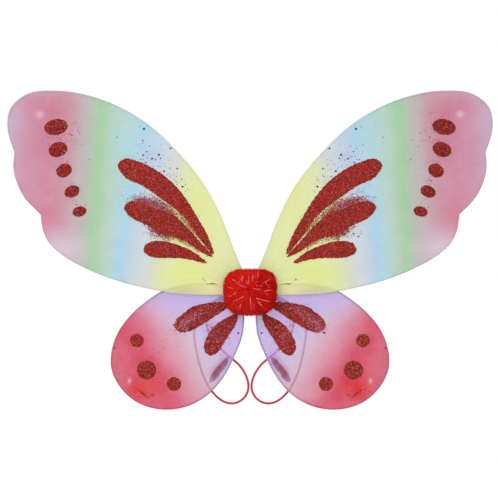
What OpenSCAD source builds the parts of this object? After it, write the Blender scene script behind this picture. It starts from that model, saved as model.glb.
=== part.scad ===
// Fairy wings: two wire-framed sheer wings a side, a pom-pom, a felt back patch and two
// elastic shoulder loops. +X is to the viewer's right, +Z is up and -Y faces the viewer.
// The origin is the middle of the felt's rear face, which rests on the wearer's back.

/* [Wings] */
// Tip to tip width of the pair of wings
span = 484; // [440:1:530]
// Height of the wings, from the top of the upper pair to the foot of the lower pair
wings_h = 319; // [290:1:350]
// Thickness of the sheer fabric envelope
fabric_t = 0.6; // [0.4:0.1:0.9]
// Distance of each wing layer from the fold axis
layer_gap = 1.2; // [1.1:0.1:1.5]
// Thickness of the glitter glue
glitter_t = 0.5; // [0.3:0.1:0.8]

/* [Wire] */
// Diameter of the frame wire
wire_d = 1.6; // [1.2:0.1:1.8]
// Distance of each side's fold axis from the middle
fold_x = 5; // [4.5:0.1:6]
// Diameter of the twisted wire ends that each side turns on
twist_d = 3; // [2.6:0.1:3.4]
// Half the height of the twisted wire ends
twist_h = 14; // [13.5:0.1:16]
// Running clearance of the twisted ends in the binding tape
twist_play = 0.05; // [0.02:0.01:0.1]

/* [Centre] */
// Wall of the binding tape around the twisted ends
tape_wall = 0.85; // [0.6:0.05:1.1]
// Height of each band of binding tape
tape_h = 8; // [7:0.5:8.5]
// Free height between the middle and a band of binding tape
tape_gap = 4; // [3.8:0.1:4.5]
// Width of the felt patch
felt_w = 36; // [32:1:37]
// Height of the felt patch
felt_h = 40; // [34:1:44]
// Thickness of the felt patch
felt_t = 1.5; // [1:0.1:1.6]
// Gap between the felt and the binding tape, filled with wadding
wadding_t = 6.1; // [5.8:0.1:8]

/* [Pom-pom] */
// Width of the pom-pom
pom_w = 53; // [46:1:60]
// Height of the pom-pom
pom_h = 46; // [42:1:52]
// Depth of the pom-pom
pom_depth = 19; // [15:1:24]

/* [Straps] */
// Diameter of the elastic cord
cord_d = 2.2; // [1.8:0.1:2.4]
// Diameter of the knot in each elastic
knot_d = 5; // [4.9:0.1:5.4]

/* [Hidden] */

$fn = 48;
NET_SPAN = 484;     // the span and height that the outlines below are drawn for
NET_H = 319;
sx = span / NET_SPAN;
sz = wings_h / NET_H;

wire_r = wire_d / 2;
cord_r = cord_d / 2;
knot_r = knot_d / 2;
twist_r = twist_d / 2;
bore_r = twist_r + twist_play;
tape_r = bore_r + tape_wall;
felt_front = -felt_t;
wadding_front = felt_front - wadding_t;
fold_y = wadding_front - tape_r;
upper_y = fold_y - layer_gap;
lower_y = fold_y + layer_gap;
tape_front = fold_y - tape_r;
tie_r = twist_r + 0.55;
tie_h = 6.4;
throat_x = fold_x + tape_r + 1.2;   // the fabric stops here, beside the binding tape
throat_z = twist_h + 0.5;
core_w = 2 * (fold_x - layer_gap - wire_r);   // clear of both sides' folded wires
core_h = 2 * (tape_gap + 5);
core_front = tape_front - 12;
fluff_back = min(tape_front, upper_y - wire_r) - 0.3;
fluff_front = tape_front - pom_depth;
knot_y = felt_front - knot_r;
knot_z = -4;
knot_x = felt_w / 2 + 0.6;          // the outer end of each knot
knot_len = 5;
pom_corner = 14;
pom_dome = 62;

// Outlines of the left wings as [x, z], each running from its inner wire leg round its tip
// and back. A row of points is a smooth stretch, and two rows meet in a notch.
UPPER_NET = [
    [[-9, 23.5], [-17, 42.8], [-29.4, 74.8], [-45.5, 105.7], [-70.6, 137.4], [-104.4, 168.9],
     [-150.9, 192.9], [-194, 200.9], [-222.1, 197.8], [-238.5, 184.3], [-241.7, 166],
     [-238.2, 150.1], [-234.5, 140.5]],
    [[-234.5, 140.5], [-235.7, 126], [-232.3, 110.2], [-225, 95.9], [-208.5, 78.5]],
    [[-208.5, 78.5], [-206.7, 65], [-201.6, 52.2], [-187.9, 38.7], [-163, 24.6], [-131, 12.2],
     [-98.8, 4.3], [-80, 0.8], [-62, -0.9], [-45, -1.5], [-27, -1.5]]
];
LOWER_NET = [
    [[-26, 7.6], [-50, 8.2], [-70, 6.4], [-86, 1.5], [-99.5, -6.9], [-118.2, -22.8],
     [-131.1, -40.2], [-137.4, -58.1], [-137.9, -75], [-129.7, -93.3], [-112.7, -108.9],
     [-84, -116.3], [-60.2, -111.9], [-43.9, -102.6], [-28.5, -86], [-16.2, -62.9],
     [-8.1, -41.2], [-6.5, -24]]
];
// Where the two legs of each loop meet the twisted ends, as [x, z]
leg_high = twist_h - 0.7;
leg_mid = 2;
UPPER_LEGS = [[-fold_x, leg_high], [-fold_x, -leg_mid]];
LOWER_LEGS = [[-fold_x, leg_mid], [-fold_x, -leg_high]];

// Glitter strokes, each a closed smooth outline that starts at its root
UPPER_STROKES = [
    [[-36, 38], [-40, 51], [-51, 73], [-65, 95], [-79, 111], [-95, 123], [-112, 131],
     [-126, 133.5], [-132, 128], [-126, 116.5], [-107, 106.5], [-89, 94], [-75, 83.5],
     [-62, 69], [-50, 53]],
    [[-37, 35.5], [-46, 47], [-58, 60.5], [-69, 72], [-81, 82.5], [-93, 88], [-108, 92],
     [-121, 91], [-126, 85], [-122, 78], [-104, 67], [-90, 58], [-76, 52.5], [-62, 47],
     [-49, 40]],
    [[-43, 29.5], [-50, 36], [-58, 41.5], [-68, 46], [-80, 50], [-94, 51.5], [-104, 48],
     [-106, 41], [-99, 36], [-87, 34.5], [-72, 34.5], [-58, 32.5]]
];
// Glitter dots of the upper wing as [x, z, width, height, tilt]
UPPER_DOTS = [
    [-194, 165.5, 23.5, 15.5, 10], [-192, 143, 19, 14.5, 20], [-186, 122, 16, 13, 28],
    [-178, 101, 15.5, 11.5, 25], [-170.5, 81, 14, 10, 15]
];
LOWER_STROKES = [
    [[-17, -11], [-27, -9.5], [-37, -10], [-49, -12], [-58, -14.5], [-66, -20.5], [-74, -28],
     [-75.5, -34], [-70, -39.5], [-62, -39], [-53, -35], [-43, -29], [-34, -23], [-25, -17]],
    [[-12.5, -20], [-20, -24], [-29, -28.5], [-36, -34], [-41.5, -42], [-45.5, -51],
     [-45, -59], [-39, -63], [-32, -59], [-26, -50], [-20, -41], [-14.5, -32]],
    [[-20.5, -63], [-27, -68], [-34, -76], [-40, -85], [-40.5, -90], [-37, -89], [-30, -81],
     [-23, -72]]
];
LOWER_DOTS = [[-113, -48, 13.5, 13, 0], [-103.5, -77.5, 19, 18.5, 0], [-76, -91.5, 14, 13.5, 0]];

// Route of the left elastic from one strand end to the other, as [x, y, z]
STRAP_ROUTE = [
    [-18.6, -4, -2.75], [-20.4, -4, -2.75], [-26, -4, -4], [-34, -4, -8], [-46, -4, -17],
    [-53, -4, -27], [-55.8, -4, -38], [-54.3, -4, -54], [-51.5, -4.2, -68],
    [-47.5, -4.4, -81], [-42.5, -4.6, -92], [-37.5, -4.8, -99.5], [-31, -5, -106],
    [-24.4, -5, -109.8], [-18, -5, -110.9], [-11.6, -5, -109.4], [-5.8, -4.8, -105.1],
    [-2.2, -4.6, -98.5], [-1.6, -4.4, -92], [-3.2, -4.2, -85.3], [-6.1, -4, -79.1],
    [-11, -4, -72.4], [-17.4, -4, -66.6], [-26, -4, -59.5], [-36, -4, -49.5], [-42, -4, -39],
    [-43.2, -4, -28], [-39, -4, -17.5], [-31, -4, -9.5], [-25, -4, -6.2],
    [-20.4, -4, -5.25], [-18.6, -4, -5.25]
];

// The middle of the left knot's outer end, where the route's two ends meet it
ROUTE_EXIT = [-18.6, -4, -4];

WIRE_STEP = 7;      // spacing of the rings along a wire
EDGE_STEP = 5;      // spacing of the points along a glitter outline
CORD_STEP = 6;      // spacing of the rings along an elastic

// ---------------------------------------------------------------- curves

function last(list) = list[len(list) - 1];
function flat(lists) = [for (l = lists) each l];
function unit(v) = v / norm(v);
function net(points) = [for (p = points) [p[0] * sx, p[1] * sz]];

// Direction of a smooth curve at b, on its way from a to c. It leans to the nearer neighbour.
function slope(a, b, c) =
    let (u = norm(b - a), v = norm(c - b))
    ((b - a) * v / u + (c - b) * u / v) / (u + v);

// Cubic Hermite curve from a to b, leaving along m and arriving along n
function hermite(a, m, b, n, step) =
    let (d = norm(b - a), count = max(1, round(d / step)))
    [for (k = [0:count - 1])
        let (t = k / count, u = t * t, v = u * t)
        a * (2 * v - 3 * u + 1) + m * d * (v - 2 * u + t)
        + b * (3 * u - 2 * v) + n * d * (v - u)];

// Smooth open curve through the points p, with a point about every step
function spline(p, step) =
    let (n = len(p),
         m = [for (i = [0:n - 1])
             i == 0 ? unit(p[1] - p[0]) :
             i == n - 1 ? unit(p[i] - p[i - 1]) : slope(p[i - 1], p[i], p[i + 1])])
    concat(flat([for (i = [0:n - 2]) hermite(p[i], m[i], p[i + 1], m[i + 1], step)]), [last(p)]);

// Smooth closed curve through the points p
function closed_spline(p, step) =
    let (n = len(p),
         m = [for (i = [0:n - 1]) slope(p[(i + n - 1) % n], p[i], p[(i + 1) % n])])
    flat([for (i = [0:n - 1]) hermite(p[i], m[i], p[(i + 1) % n], m[(i + 1) % n], step)]);

// Edge of a wing between the two legs of its wire, with its notches kept sharp
function rim(rows) = flat([for (r = [0:len(rows) - 1])
    let (s = spline(net(rows[r]), WIRE_STEP))
    [for (i = [(r == 0 ? 0 : 1):len(s) - 1]) s[i]]]);

// The point of the line from a to b that is at x
function at_x(a, b, x) = a + (b - a) * (x - a[0]) / (b[0] - a[0]);

function ellipse_points(w, h, tilt, n) = [for (i = [0:n - 1])
    let (a = 360 * i / n, x = w / 2 * cos(a), z = h / 2 * sin(a))
    [x * cos(tilt) - z * sin(tilt), x * sin(tilt) + z * cos(tilt)]];

// Ring i of a round tube along a path that lies close to an XZ plane. At a bend the ring
// halves the bend, and is stretched across it so that the tube keeps its width.
function tube_ring(path, i, r, sides) =
    let (before = max(i - 1, 0), after = min(i + 1, len(path) - 1),
         t = unit(path[after] - path[before]),
         behind = i == 0 ? t : unit(path[i] - path[before]),
         side = unit(cross(t, [0, 1, 0])), up = cross(side, t),
         stretch = 1 / max(0.5, t * behind))
    [for (k = [0:sides - 1])
        let (a = 360 * (k + 0.5) / sides)
        path[i] + r * (stretch * cos(a) * side + sin(a) * up)];

module tube(path, r, sides = 8) {
    n = len(path);
    rings = flat([for (i = [0:n - 1]) tube_ring(path, i, r, sides)]);
    walls = flat([for (i = [0:n - 2], k = [0:sides - 1])
        let (a = i * sides + k, b = i * sides + (k + 1) % sides)
        [[a, b, a + sides], [b, b + sides, a + sides]]]);
    first_cap = [for (k = [sides - 1:-1:0]) k];
    last_cap = [for (k = [0:sides - 1]) (n - 1) * sides + k];
    polyhedron(rings, concat(walls, [first_cap, last_cap]));
}

UPPER_EDGE = rim(UPPER_NET);
LOWER_EDGE = rim(LOWER_NET);
UPPER_THROAT = [at_x(last(UPPER_EDGE), UPPER_LEGS[1], -throat_x), [-throat_x, throat_z]];
LOWER_THROAT = [[-throat_x, -throat_z], at_x(LOWER_EDGE[0], LOWER_LEGS[0], -throat_x)];

// ---------------------------------------------------------------- shapes

// Plate of thickness t, standing in the XZ plane with its front face at y
module plate(y, t) {
    translate([0, y + t, 0]) rotate([90, 0, 0]) linear_extrude(t) children();
}

module rounded_square(w, h, r) {
    square([w - 2 * r, h], center = true);
    square([w, h - 2 * r], center = true);
    for (x = [-1, 1], z = [-1, 1]) translate([x * (w / 2 - r), z * (h / 2 - r)]) circle(r);
}

// Everything with a side is drawn as the left one, and mirrored for the right
module on_side(side) {
    if (side < 0) children();
    else mirror([1, 0, 0]) children();
}

// ---------------------------------------------------------------- centre

module binding_tape(z) {
    color("silver") difference() {
        translate([0, fold_y, z]) linear_extrude(tape_h) {
            square([2 * fold_x, 2 * tape_r], center = true);
            for (x = [-fold_x, fold_x]) translate([x, 0]) circle(tape_r);
        }
        for (x = [-fold_x, fold_x])
            translate([x, fold_y, z - 1]) cylinder(r = bore_r, h = tape_h + 2);
    }
}

module back_wadding() {
    color("white") plate(wadding_front, wadding_t) rounded_square(16, 26, 5);
}

module back_felt() {
    color("crimson") plate(felt_front, felt_t) rounded_square(felt_w, felt_h, 12);
}

module felt_stitches() {
    thread_r = 0.35;
    stitch_len = 3.2;
    inset = 2.6;
    count = 20;
    across = felt_w / 2 - inset;
    up = felt_h / 2 - inset;
    color("firebrick") for (i = [0:count - 1]) {
        turn = 360 * (i + 0.5) / count;
        translate([across * cos(turn), -thread_r, up * sin(turn)])
            rotate([0, -atan2(up * cos(turn), -across * sin(turn)), 0])
                translate([-stitch_len / 2, 0, 0]) rotate([0, 90, 0])
                    cylinder(r = thread_r, h = stitch_len, $fn = 16);
    }
}

module strap_knot(side) {
    color("red") on_side(side) translate([-knot_x, knot_y, knot_z]) rotate([0, 90, 0])
        rotate_extrude() polygon([[0, 0], [knot_r, 0], [knot_r, knot_len - 1.2],
            [knot_r - 1.2, knot_len], [0, knot_len]]);
}

module knot_stitches() {
    thread_r = 0.3;
    color("firebrick") for (side = [-1, 1], along_knot = [1.2, 3])
        on_side(side) translate([-knot_x + along_knot, knot_y, knot_z]) rotate([0, 90, 0])
            rotate_extrude() translate([knot_r + thread_r - 0.1, 0]) circle(thread_r, $fn = 16);
}

module pompom_core() {
    color("darkred") plate(core_front, tape_front - core_front)
        rounded_square(core_w, core_h, core_w / 2 - 0.1);
}

module pompom_tie_thread() {
    thread_r = 0.35;
    color("red") for (turn = [0:2])
        plate(tape_front - 2.6 - 2 * thread_r * turn, 2 * thread_r) difference() {
            rounded_square(core_w + 2 * thread_r, core_h + 2 * thread_r, core_w / 2);
            rounded_square(core_w, core_h, core_w / 2 - 0.1);
        }
}

module pompom_fluff(side) {
    clear = 0.6;
    color("red") on_side(side) difference() {
        intersection() {
            plate(fluff_front, fluff_back - fluff_front) rounded_square(pom_w, pom_h, pom_corner);
            translate([0, fluff_front + pom_dome, 0]) sphere(pom_dome, $fn = 96);
            translate([-pom_w, fluff_front - 1, -pom_h]) cube([pom_w, pom_depth + 2, 2 * pom_h]);
        }
        translate([-core_w / 2 - clear, core_front - clear, -core_h / 2 - clear])
            cube([core_w, pom_depth, core_h + 2 * clear]);
    }
}

// ---------------------------------------------------------------- one side's wings

module wire_twist(side) {
    color("gray") on_side(side) translate([-fold_x, fold_y, -twist_h])
        cylinder(r = twist_r, h = 2 * twist_h);
}

module centre_tie(side) {
    color("white") on_side(side) translate([-fold_x, fold_y, -tie_h / 2])
        difference() {
            cylinder(r = tie_r, h = tie_h);
            translate([0, 0, -1]) cylinder(r = twist_r, h = tie_h + 2);
        }
}

module wing_wire(side, y, edge, legs) {
    path = [for (p = concat([legs[0]], edge, [legs[1]])) [p[0], y, p[1]]];
    color("lightgray") on_side(side) tube(path, wire_r);
}

// The fabric reaches the middle of the wire, and its throat passes beside the binding tape
module wing_fabric(side, y, edge, throat, tint) {
    color(tint) on_side(side) plate(y - fabric_t / 2, fabric_t)
        polygon(concat(edge, throat));
}

module glitter_stroke(y, outline) {
    plate(y, glitter_t) polygon(closed_spline(net(outline), EDGE_STEP));
}

module glitter_strokes_upper(side) {
    color("darkred") on_side(side) for (stroke = UPPER_STROKES)
        glitter_stroke(upper_y - fabric_t / 2 - glitter_t, stroke);
}

// The last stroke of the lower wing is on the rear of its fabric
module glitter_strokes_lower(side) {
    color("darkred") on_side(side) {
        for (i = [0:len(LOWER_STROKES) - 2])
            glitter_stroke(lower_y - fabric_t / 2 - glitter_t, LOWER_STROKES[i]);
        glitter_stroke(lower_y + fabric_t / 2, last(LOWER_STROKES));
    }
}

module glitter_dots(side, y, dots) {
    color("darkred") on_side(side) for (d = dots)
        plate(y - fabric_t / 2 - glitter_t, glitter_t) translate(net([d])[0])
            polygon(ellipse_points(d[2], d[3], d[4], 28));
}

module strap(side) {
    exit = [-knot_x, knot_y, knot_z];
    color("red") on_side(side) tube(spline([for (p = STRAP_ROUTE) p + exit - ROUTE_EXIT],
        CORD_STEP), cord_r);
}

// ---------------------------------------------------------------- parts

binding_tape(tape_gap);  // binding_tape_upper
binding_tape(-tape_gap - tape_h);  // binding_tape_lower
back_wadding();
back_felt();
felt_stitches();
strap_knot(-1);  // strap_knot_left
strap_knot(1);  // strap_knot_right
knot_stitches();
pompom_core();
pompom_tie_thread();
pompom_fluff(-1);  // pompom_fluff_left
pompom_fluff(1);  // pompom_fluff_right
wire_twist(-1);  // wire_twist_left
centre_tie(-1);  // centre_tie_left
wing_wire(-1, upper_y, UPPER_EDGE, UPPER_LEGS);  // wire_upper_left
wing_wire(-1, lower_y, LOWER_EDGE, LOWER_LEGS);  // wire_lower_left
wing_fabric(-1, upper_y, UPPER_EDGE, UPPER_THROAT, "lightpink");  // fabric_upper_left
wing_fabric(-1, lower_y, LOWER_EDGE, LOWER_THROAT, "plum");  // fabric_lower_left
glitter_strokes_upper(-1);  // glitter_strokes_upper_left
glitter_dots(-1, upper_y, UPPER_DOTS);  // glitter_dots_upper_left
glitter_strokes_lower(-1);  // glitter_strokes_lower_left
glitter_dots(-1, lower_y, LOWER_DOTS);  // glitter_dots_lower_left
wire_twist(1);  // wire_twist_right
centre_tie(1);  // centre_tie_right
wing_wire(1, upper_y, UPPER_EDGE, UPPER_LEGS);  // wire_upper_right
wing_wire(1, lower_y, LOWER_EDGE, LOWER_LEGS);  // wire_lower_right
wing_fabric(1, upper_y, UPPER_EDGE, UPPER_THROAT, "lightpink");  // fabric_upper_right
wing_fabric(1, lower_y, LOWER_EDGE, LOWER_THROAT, "plum");  // fabric_lower_right
glitter_strokes_upper(1);  // glitter_strokes_upper_right
glitter_dots(1, upper_y, UPPER_DOTS);  // glitter_dots_upper_right
glitter_strokes_lower(1);  // glitter_strokes_lower_right
glitter_dots(1, lower_y, LOWER_DOTS);  // glitter_dots_lower_right
strap(-1);  // strap_left
strap(1);  // strap_right
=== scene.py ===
"""Fairy wings: sheer wire-framed wings with glitter paint, a pom-pom and elastic arm loops.

Everything is in metres in the frame of the CAD model: X to the right, Z up, the wearer's back
at y = 0 and the painted side towards -Y. Flat outlines are taken from the CAD parts, and each
new surface is worked out from them as whole arrays.
"""
from __future__ import annotations

import logging
import math
from abc import ABC, abstractmethod
from collections.abc import Callable, Sequence
from dataclasses import dataclass, field
from enum import Enum
from typing import ClassVar

import bmesh
import bpy
import numpy as np
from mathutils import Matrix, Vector

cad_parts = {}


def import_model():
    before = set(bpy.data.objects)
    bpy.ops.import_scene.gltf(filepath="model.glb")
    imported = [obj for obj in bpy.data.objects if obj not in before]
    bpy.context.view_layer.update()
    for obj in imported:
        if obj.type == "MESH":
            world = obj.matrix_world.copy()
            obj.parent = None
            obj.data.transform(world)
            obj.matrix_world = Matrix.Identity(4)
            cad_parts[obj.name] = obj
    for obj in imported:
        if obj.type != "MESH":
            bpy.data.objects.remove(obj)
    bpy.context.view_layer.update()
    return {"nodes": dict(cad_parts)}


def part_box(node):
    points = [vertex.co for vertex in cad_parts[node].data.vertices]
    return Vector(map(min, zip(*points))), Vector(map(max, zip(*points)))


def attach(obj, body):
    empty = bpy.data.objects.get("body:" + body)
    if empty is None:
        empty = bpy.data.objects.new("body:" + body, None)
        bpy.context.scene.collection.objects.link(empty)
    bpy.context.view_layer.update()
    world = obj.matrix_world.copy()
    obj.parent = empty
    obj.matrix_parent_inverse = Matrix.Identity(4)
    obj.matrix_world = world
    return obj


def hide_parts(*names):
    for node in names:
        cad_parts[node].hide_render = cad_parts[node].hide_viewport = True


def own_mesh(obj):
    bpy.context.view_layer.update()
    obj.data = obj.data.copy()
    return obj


LOG = logging.getLogger("fairy_wings")
MM = 0.001
GOLD, MAUVE, INK = 0.92, 0.978, 0.998   # marks of flakes that aren't red
TURN = 2 * math.pi

Array = np.ndarray
Socket = bpy.types.NodeSocket


class Side(Enum):
    """The wearer's side seen from the painted face."""

    LEFT = "left"
    RIGHT = "right"

    @property
    def sign(self) -> int:
        """-1 for the left side and 1 for the right."""
        return -1 if self is Side.LEFT else 1

    def node(self, stem: str) -> str:
        """Name of this side's part with that stem."""
        return f"{stem}_{self.value}"


class Face(Enum):
    """Which face of a wing a marking is painted on."""

    FRONT = -1
    REAR = 1


# ------------------------------------------------------------------ curves


def unit(vectors: Array) -> Array:
    """Scales vectors on the last axis to length one."""
    return vectors / np.maximum(np.linalg.norm(vectors, axis=-1, keepdims=True), 1e-12)


def ease(x: Array | float, low: float, high: float) -> Array:
    """Smooth step: 0 below low, 1 above high, and 3t^2 - 2t^3 between."""
    t = np.clip((np.asarray(x) - low) / (high - low), 0.0, 1.0)
    return t * t * (3 - 2 * t)


def waves(u: Array, seed: int, count: int = 5, base: float = 1.0) -> Array:
    """Smooth uneven wave of one variable, between about -1 and 1.

    The value is a mean of sines whose frequencies rise from base by uneven steps.

    Args:
        u: the variable.
        seed: start of the random draws.
        count: number of sines.
        base: lowest frequency.

    Returns:
        The wave at each value of u.
    """
    rng = np.random.default_rng(seed)
    frequency = base * (1 + np.arange(count) + rng.uniform(-0.35, 0.35, count))
    phase = rng.uniform(0, TURN, count)
    weight = 1 / np.sqrt(1 + np.arange(count))
    values = np.sin(TURN * np.asarray(u)[..., None] * frequency + phase) * weight
    return values.sum(-1) / weight.sum() * 1.5


def smooth_path(points: Array, step: float, closed: bool = False,
                corner: float = 180.0) -> Array:
    """Runs a smooth curve through points.

    Between neighbours it is a cubic Hermite curve. The slope at a point is the mean of the
    two chords that meet there, and leans to the shorter one. Where the chords turn by more
    than corner degrees, each side keeps its own chord and the corner stays sharp.

    Args:
        points: (n, d) points to pass through.
        step: spacing of the new points.
        closed: whether the last point joins the first.
        corner: least turn of a sharp corner.

    Returns:
        (m, d) points, with the last one left out where the curve is closed.
    """
    p = np.asarray(points, float)
    chords = np.roll(p, -1, 0) - p if closed else np.diff(p, axis=0)
    spans = np.linalg.norm(chords, axis=1)
    heading = chords / spans[:, None]
    before, span_before = np.roll(heading, 1, 0), np.roll(spans, 1)
    slope = (before * spans[:, None] + heading * span_before[:, None])
    slope /= (spans + span_before)[:, None]
    sharp = (before * heading).sum(1) < math.cos(math.radians(corner))
    leave = np.where(sharp[:, None], heading, slope)
    arrive = np.roll(np.where(sharp[:, None], before, slope), -1, 0)
    if not closed:
        leave[0], arrive[-1] = heading[0], heading[-1]
    counts = np.maximum(1, np.round(spans / step)).astype(int)
    which = np.repeat(np.arange(len(spans)), counts)
    t = ((np.arange(counts.sum()) - np.repeat(np.cumsum(counts) - counts, counts))
         / counts[which])[:, None]
    ends = np.roll(p, -1, 0) if closed else p[1:]
    starts, reach = p[: len(spans)], spans[which][:, None]
    curve = (starts[which] * (2 * t**3 - 3 * t**2 + 1) + leave[which] * reach
             * (t**3 - 2 * t**2 + t) + ends[which] * (3 * t**2 - 2 * t**3)
             + arrive[which] * reach * (t**3 - t**2))
    return curve if closed else np.vstack([curve, p[-1]])


def lengths_along(path: Array) -> Array:
    """Distance of each point from the first along the path."""
    return np.concatenate([[0.0], np.cumsum(np.linalg.norm(np.diff(path, axis=0), axis=1))])


def evenly(path: Array, count: int, keep: Sequence[int] = ()) -> Array:
    """Spreads count points evenly along a path by linear interpolation.

    Args:
        path: (n, d) points.
        count: number of new points.
        keep: numbers of the old points that stay, each on the nearest new one.

    Returns:
        (count, d) points.
    """
    along = lengths_along(path)
    wanted = np.linspace(0, along[-1], count)
    for index in keep:
        wanted[np.abs(wanted - along[index]).argmin()] = along[index]
    return np.stack([np.interp(wanted, along, path[:, i]) for i in range(path.shape[1])], -1)


def outward_normals(path: Array) -> Array:
    """Flat normals of an outline that point away from what it encloses.

    The normal is the tangent turned a quarter turn, by the sign of the enclosed area.

    Args:
        path: (n, 2) points round the outline.

    Returns:
        A unit normal for each point.
    """
    tangent = unit(np.gradient(path, axis=0))
    x, z = path[:, 0], path[:, 1]
    area = (x * np.roll(z, -1) - z * np.roll(x, -1)).sum()
    return np.stack([tangent[:, 1], -tangent[:, 0]], -1) * np.sign(area)


def enclosed(points: Array, ring: Array) -> Array:
    """Whether each flat point lies in a closed ring, by counting the edges to its right.

    Args:
        points: (n, 2) places.
        ring: (m, 2) closed outline.

    Returns:
        A truth value for each place.
    """
    a, b = ring, np.roll(ring, -1, 0)
    x, z = points[:, :1], points[:, 1:2]
    crosses = (a[:, 1] > z) != (b[:, 1] > z)
    rise = np.where(a[:, 1] == b[:, 1], 1e-12, b[:, 1] - a[:, 1])
    at = a[:, 0] + (z - a[:, 1]) * (b[:, 0] - a[:, 0]) / rise
    return ((crosses & (x < at)).sum(1) % 2).astype(bool)


def edge_distance(points: Array, ring: Array) -> Array:
    """Distance of each flat point from the nearest point of a finely sampled ring.

    Args:
        points: (n, 2) places.
        ring: (m, 2) closed outline.

    Returns:
        A distance for each place.
    """
    gaps = [np.sqrt(((part[:, None] - ring[None]) ** 2).sum(-1).min(1))
            for part in np.array_split(points, max(1, len(points) * len(ring) // 2_000_000))]
    return np.concatenate(gaps)


def part_outlines(node: str, face: Face = Face.FRONT) -> list[Array]:
    """Reads the outlines of a flat CAD part from its mesh.

    The triangles of the front or rear face are kept, and the edges that only one of them
    has are chained head to tail. Each chain is followed by doubling jumps.

    Args:
        node: name of the CAD part.
        face: which flat face is read.

    Returns:
        One (n, 2) ring of x and z for each outline.
    """
    mesh = bpy.data.objects[node].data
    mesh.calc_loop_triangles()
    points = np.empty(len(mesh.vertices) * 3)
    mesh.vertices.foreach_get("co", points)
    corners = np.empty(len(mesh.loop_triangles) * 3, dtype=np.int64)
    mesh.loop_triangles.foreach_get("vertices", corners)
    grid, same = np.unique(np.round(points.reshape(-1, 3) * 1e5).astype(np.int64), axis=0,
                           return_inverse=True)
    corners = same.reshape(-1)[corners].reshape(-1, 3)
    level = grid[:, 1].min() if face is Face.FRONT else grid[:, 1].max()
    corners = corners[(np.abs(grid[corners][..., 1] - level) <= 2).all(1)]
    heads, tails = corners.reshape(-1), np.roll(corners, -1, 1).reshape(-1)
    total = len(grid)
    single = ~np.isin(heads * total + tails, tails * total + heads)
    follow = np.arange(total)
    follow[heads[single]] = tails[single]
    left = set(heads[single].tolist())
    rings = []
    while left:
        start = min(left)
        chain, jump = np.array([start]), follow
        while not (chain[1:] == start).any():
            chain, jump = np.concatenate([chain, jump[chain]]), jump[jump]
        chain = chain[: 1 + int((chain[1:] == start).argmax())]
        left -= set(chain.tolist())
        rings.append(grid[chain][:, [0, 2]] * 1e-5)
    return rings


def two_rails(ring: Array, root: Array, count: int) -> tuple[Array, Array]:
    """Splits a ring at its nearest and farthest points from root into two matched rails.

    Args:
        ring: (n, 2) closed outline.
        root: the point that the markings spread from.
        count: points on each rail.

    Returns:
        Two (count, 2) rails that share their first and their last point.
    """
    far = np.linalg.norm(ring - root, axis=1)
    ring = np.roll(ring, -int(far.argmin()), axis=0)
    tip = int(np.linalg.norm(ring - root, axis=1).argmax())
    return evenly(ring[: tip + 1], count), evenly(np.vstack([ring[tip:], ring[:1]])[::-1], count)


# ------------------------------------------------------------------ shapes


@dataclass
class Shape:
    """Points and faces of a piece before it becomes a mesh.

    Args:
        points: (n, 3) positions.
        faces: arrays of point numbers, one row a face.
        uv: an array of corner coordinates for each array of faces.
        marks: values of the points by attribute name.
    """

    points: Array
    faces: list[Array]
    uv: list[Array] = field(default_factory=list)
    marks: dict[str, Array] = field(default_factory=dict)

    def mirrored(self) -> Shape:
        """The same shape on the other side of x = 0, with its faces still outward."""
        return Shape(self.points * (-1, 1, 1), [f[:, ::-1] for f in self.faces],
                     [u[:, ::-1] for u in self.uv], self.marks)

    def on(self, side: Side) -> Shape:
        """This shape, drawn for the left, on the given side."""
        return self if side is Side.LEFT else self.mirrored()

    def outward(self) -> Shape:
        """Turns all faces over if the shape's signed volume is negative.

        Returns:
            This shape, or one with its faces turned.
        """
        volume = 0.0
        for f in self.faces:
            p = self.points[f] - self.points.mean(0)
            volume += sum((p[:, 0] * np.cross(p[:, i], p[:, i + 1])).sum()
                          for i in range(1, f.shape[1] - 1))
        if volume >= 0:
            return self
        return Shape(self.points, [f[:, ::-1] for f in self.faces],
                     [u[:, ::-1] for u in self.uv], self.marks)


def join(shapes: Sequence[Shape]) -> Shape:
    """Puts shapes with the same marks together as one.

    Args:
        shapes: two or more.

    Returns:
        One shape.
    """
    starts = np.cumsum([0] + [len(s.points) for s in shapes[:-1]])
    return Shape(
        np.vstack([s.points for s in shapes]),
        [f + start for s, start in zip(shapes, starts) for f in s.faces],
        [u for s in shapes for u in s.uv],
        {key: np.concatenate([s.marks[key] for s in shapes]) for key in shapes[0].marks},
    )


def grid_faces(rows: int, columns: int, wrap: bool = False) -> Array:
    """Quads of a grid of points, with the last column joined to the first if it wraps.

    Args:
        rows: rows of points.
        columns: points in a row.
        wrap: whether a row joins up with itself.

    Returns:
        (n, 4) point numbers.
    """
    row = np.arange(rows - 1)[:, None] * columns
    here = np.arange(columns if wrap else columns - 1)[None]
    after = (here + 1) % columns
    return np.stack([row + here, row + after, row + columns + after, row + columns + here],
                    -1).reshape(-1, 4)


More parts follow.
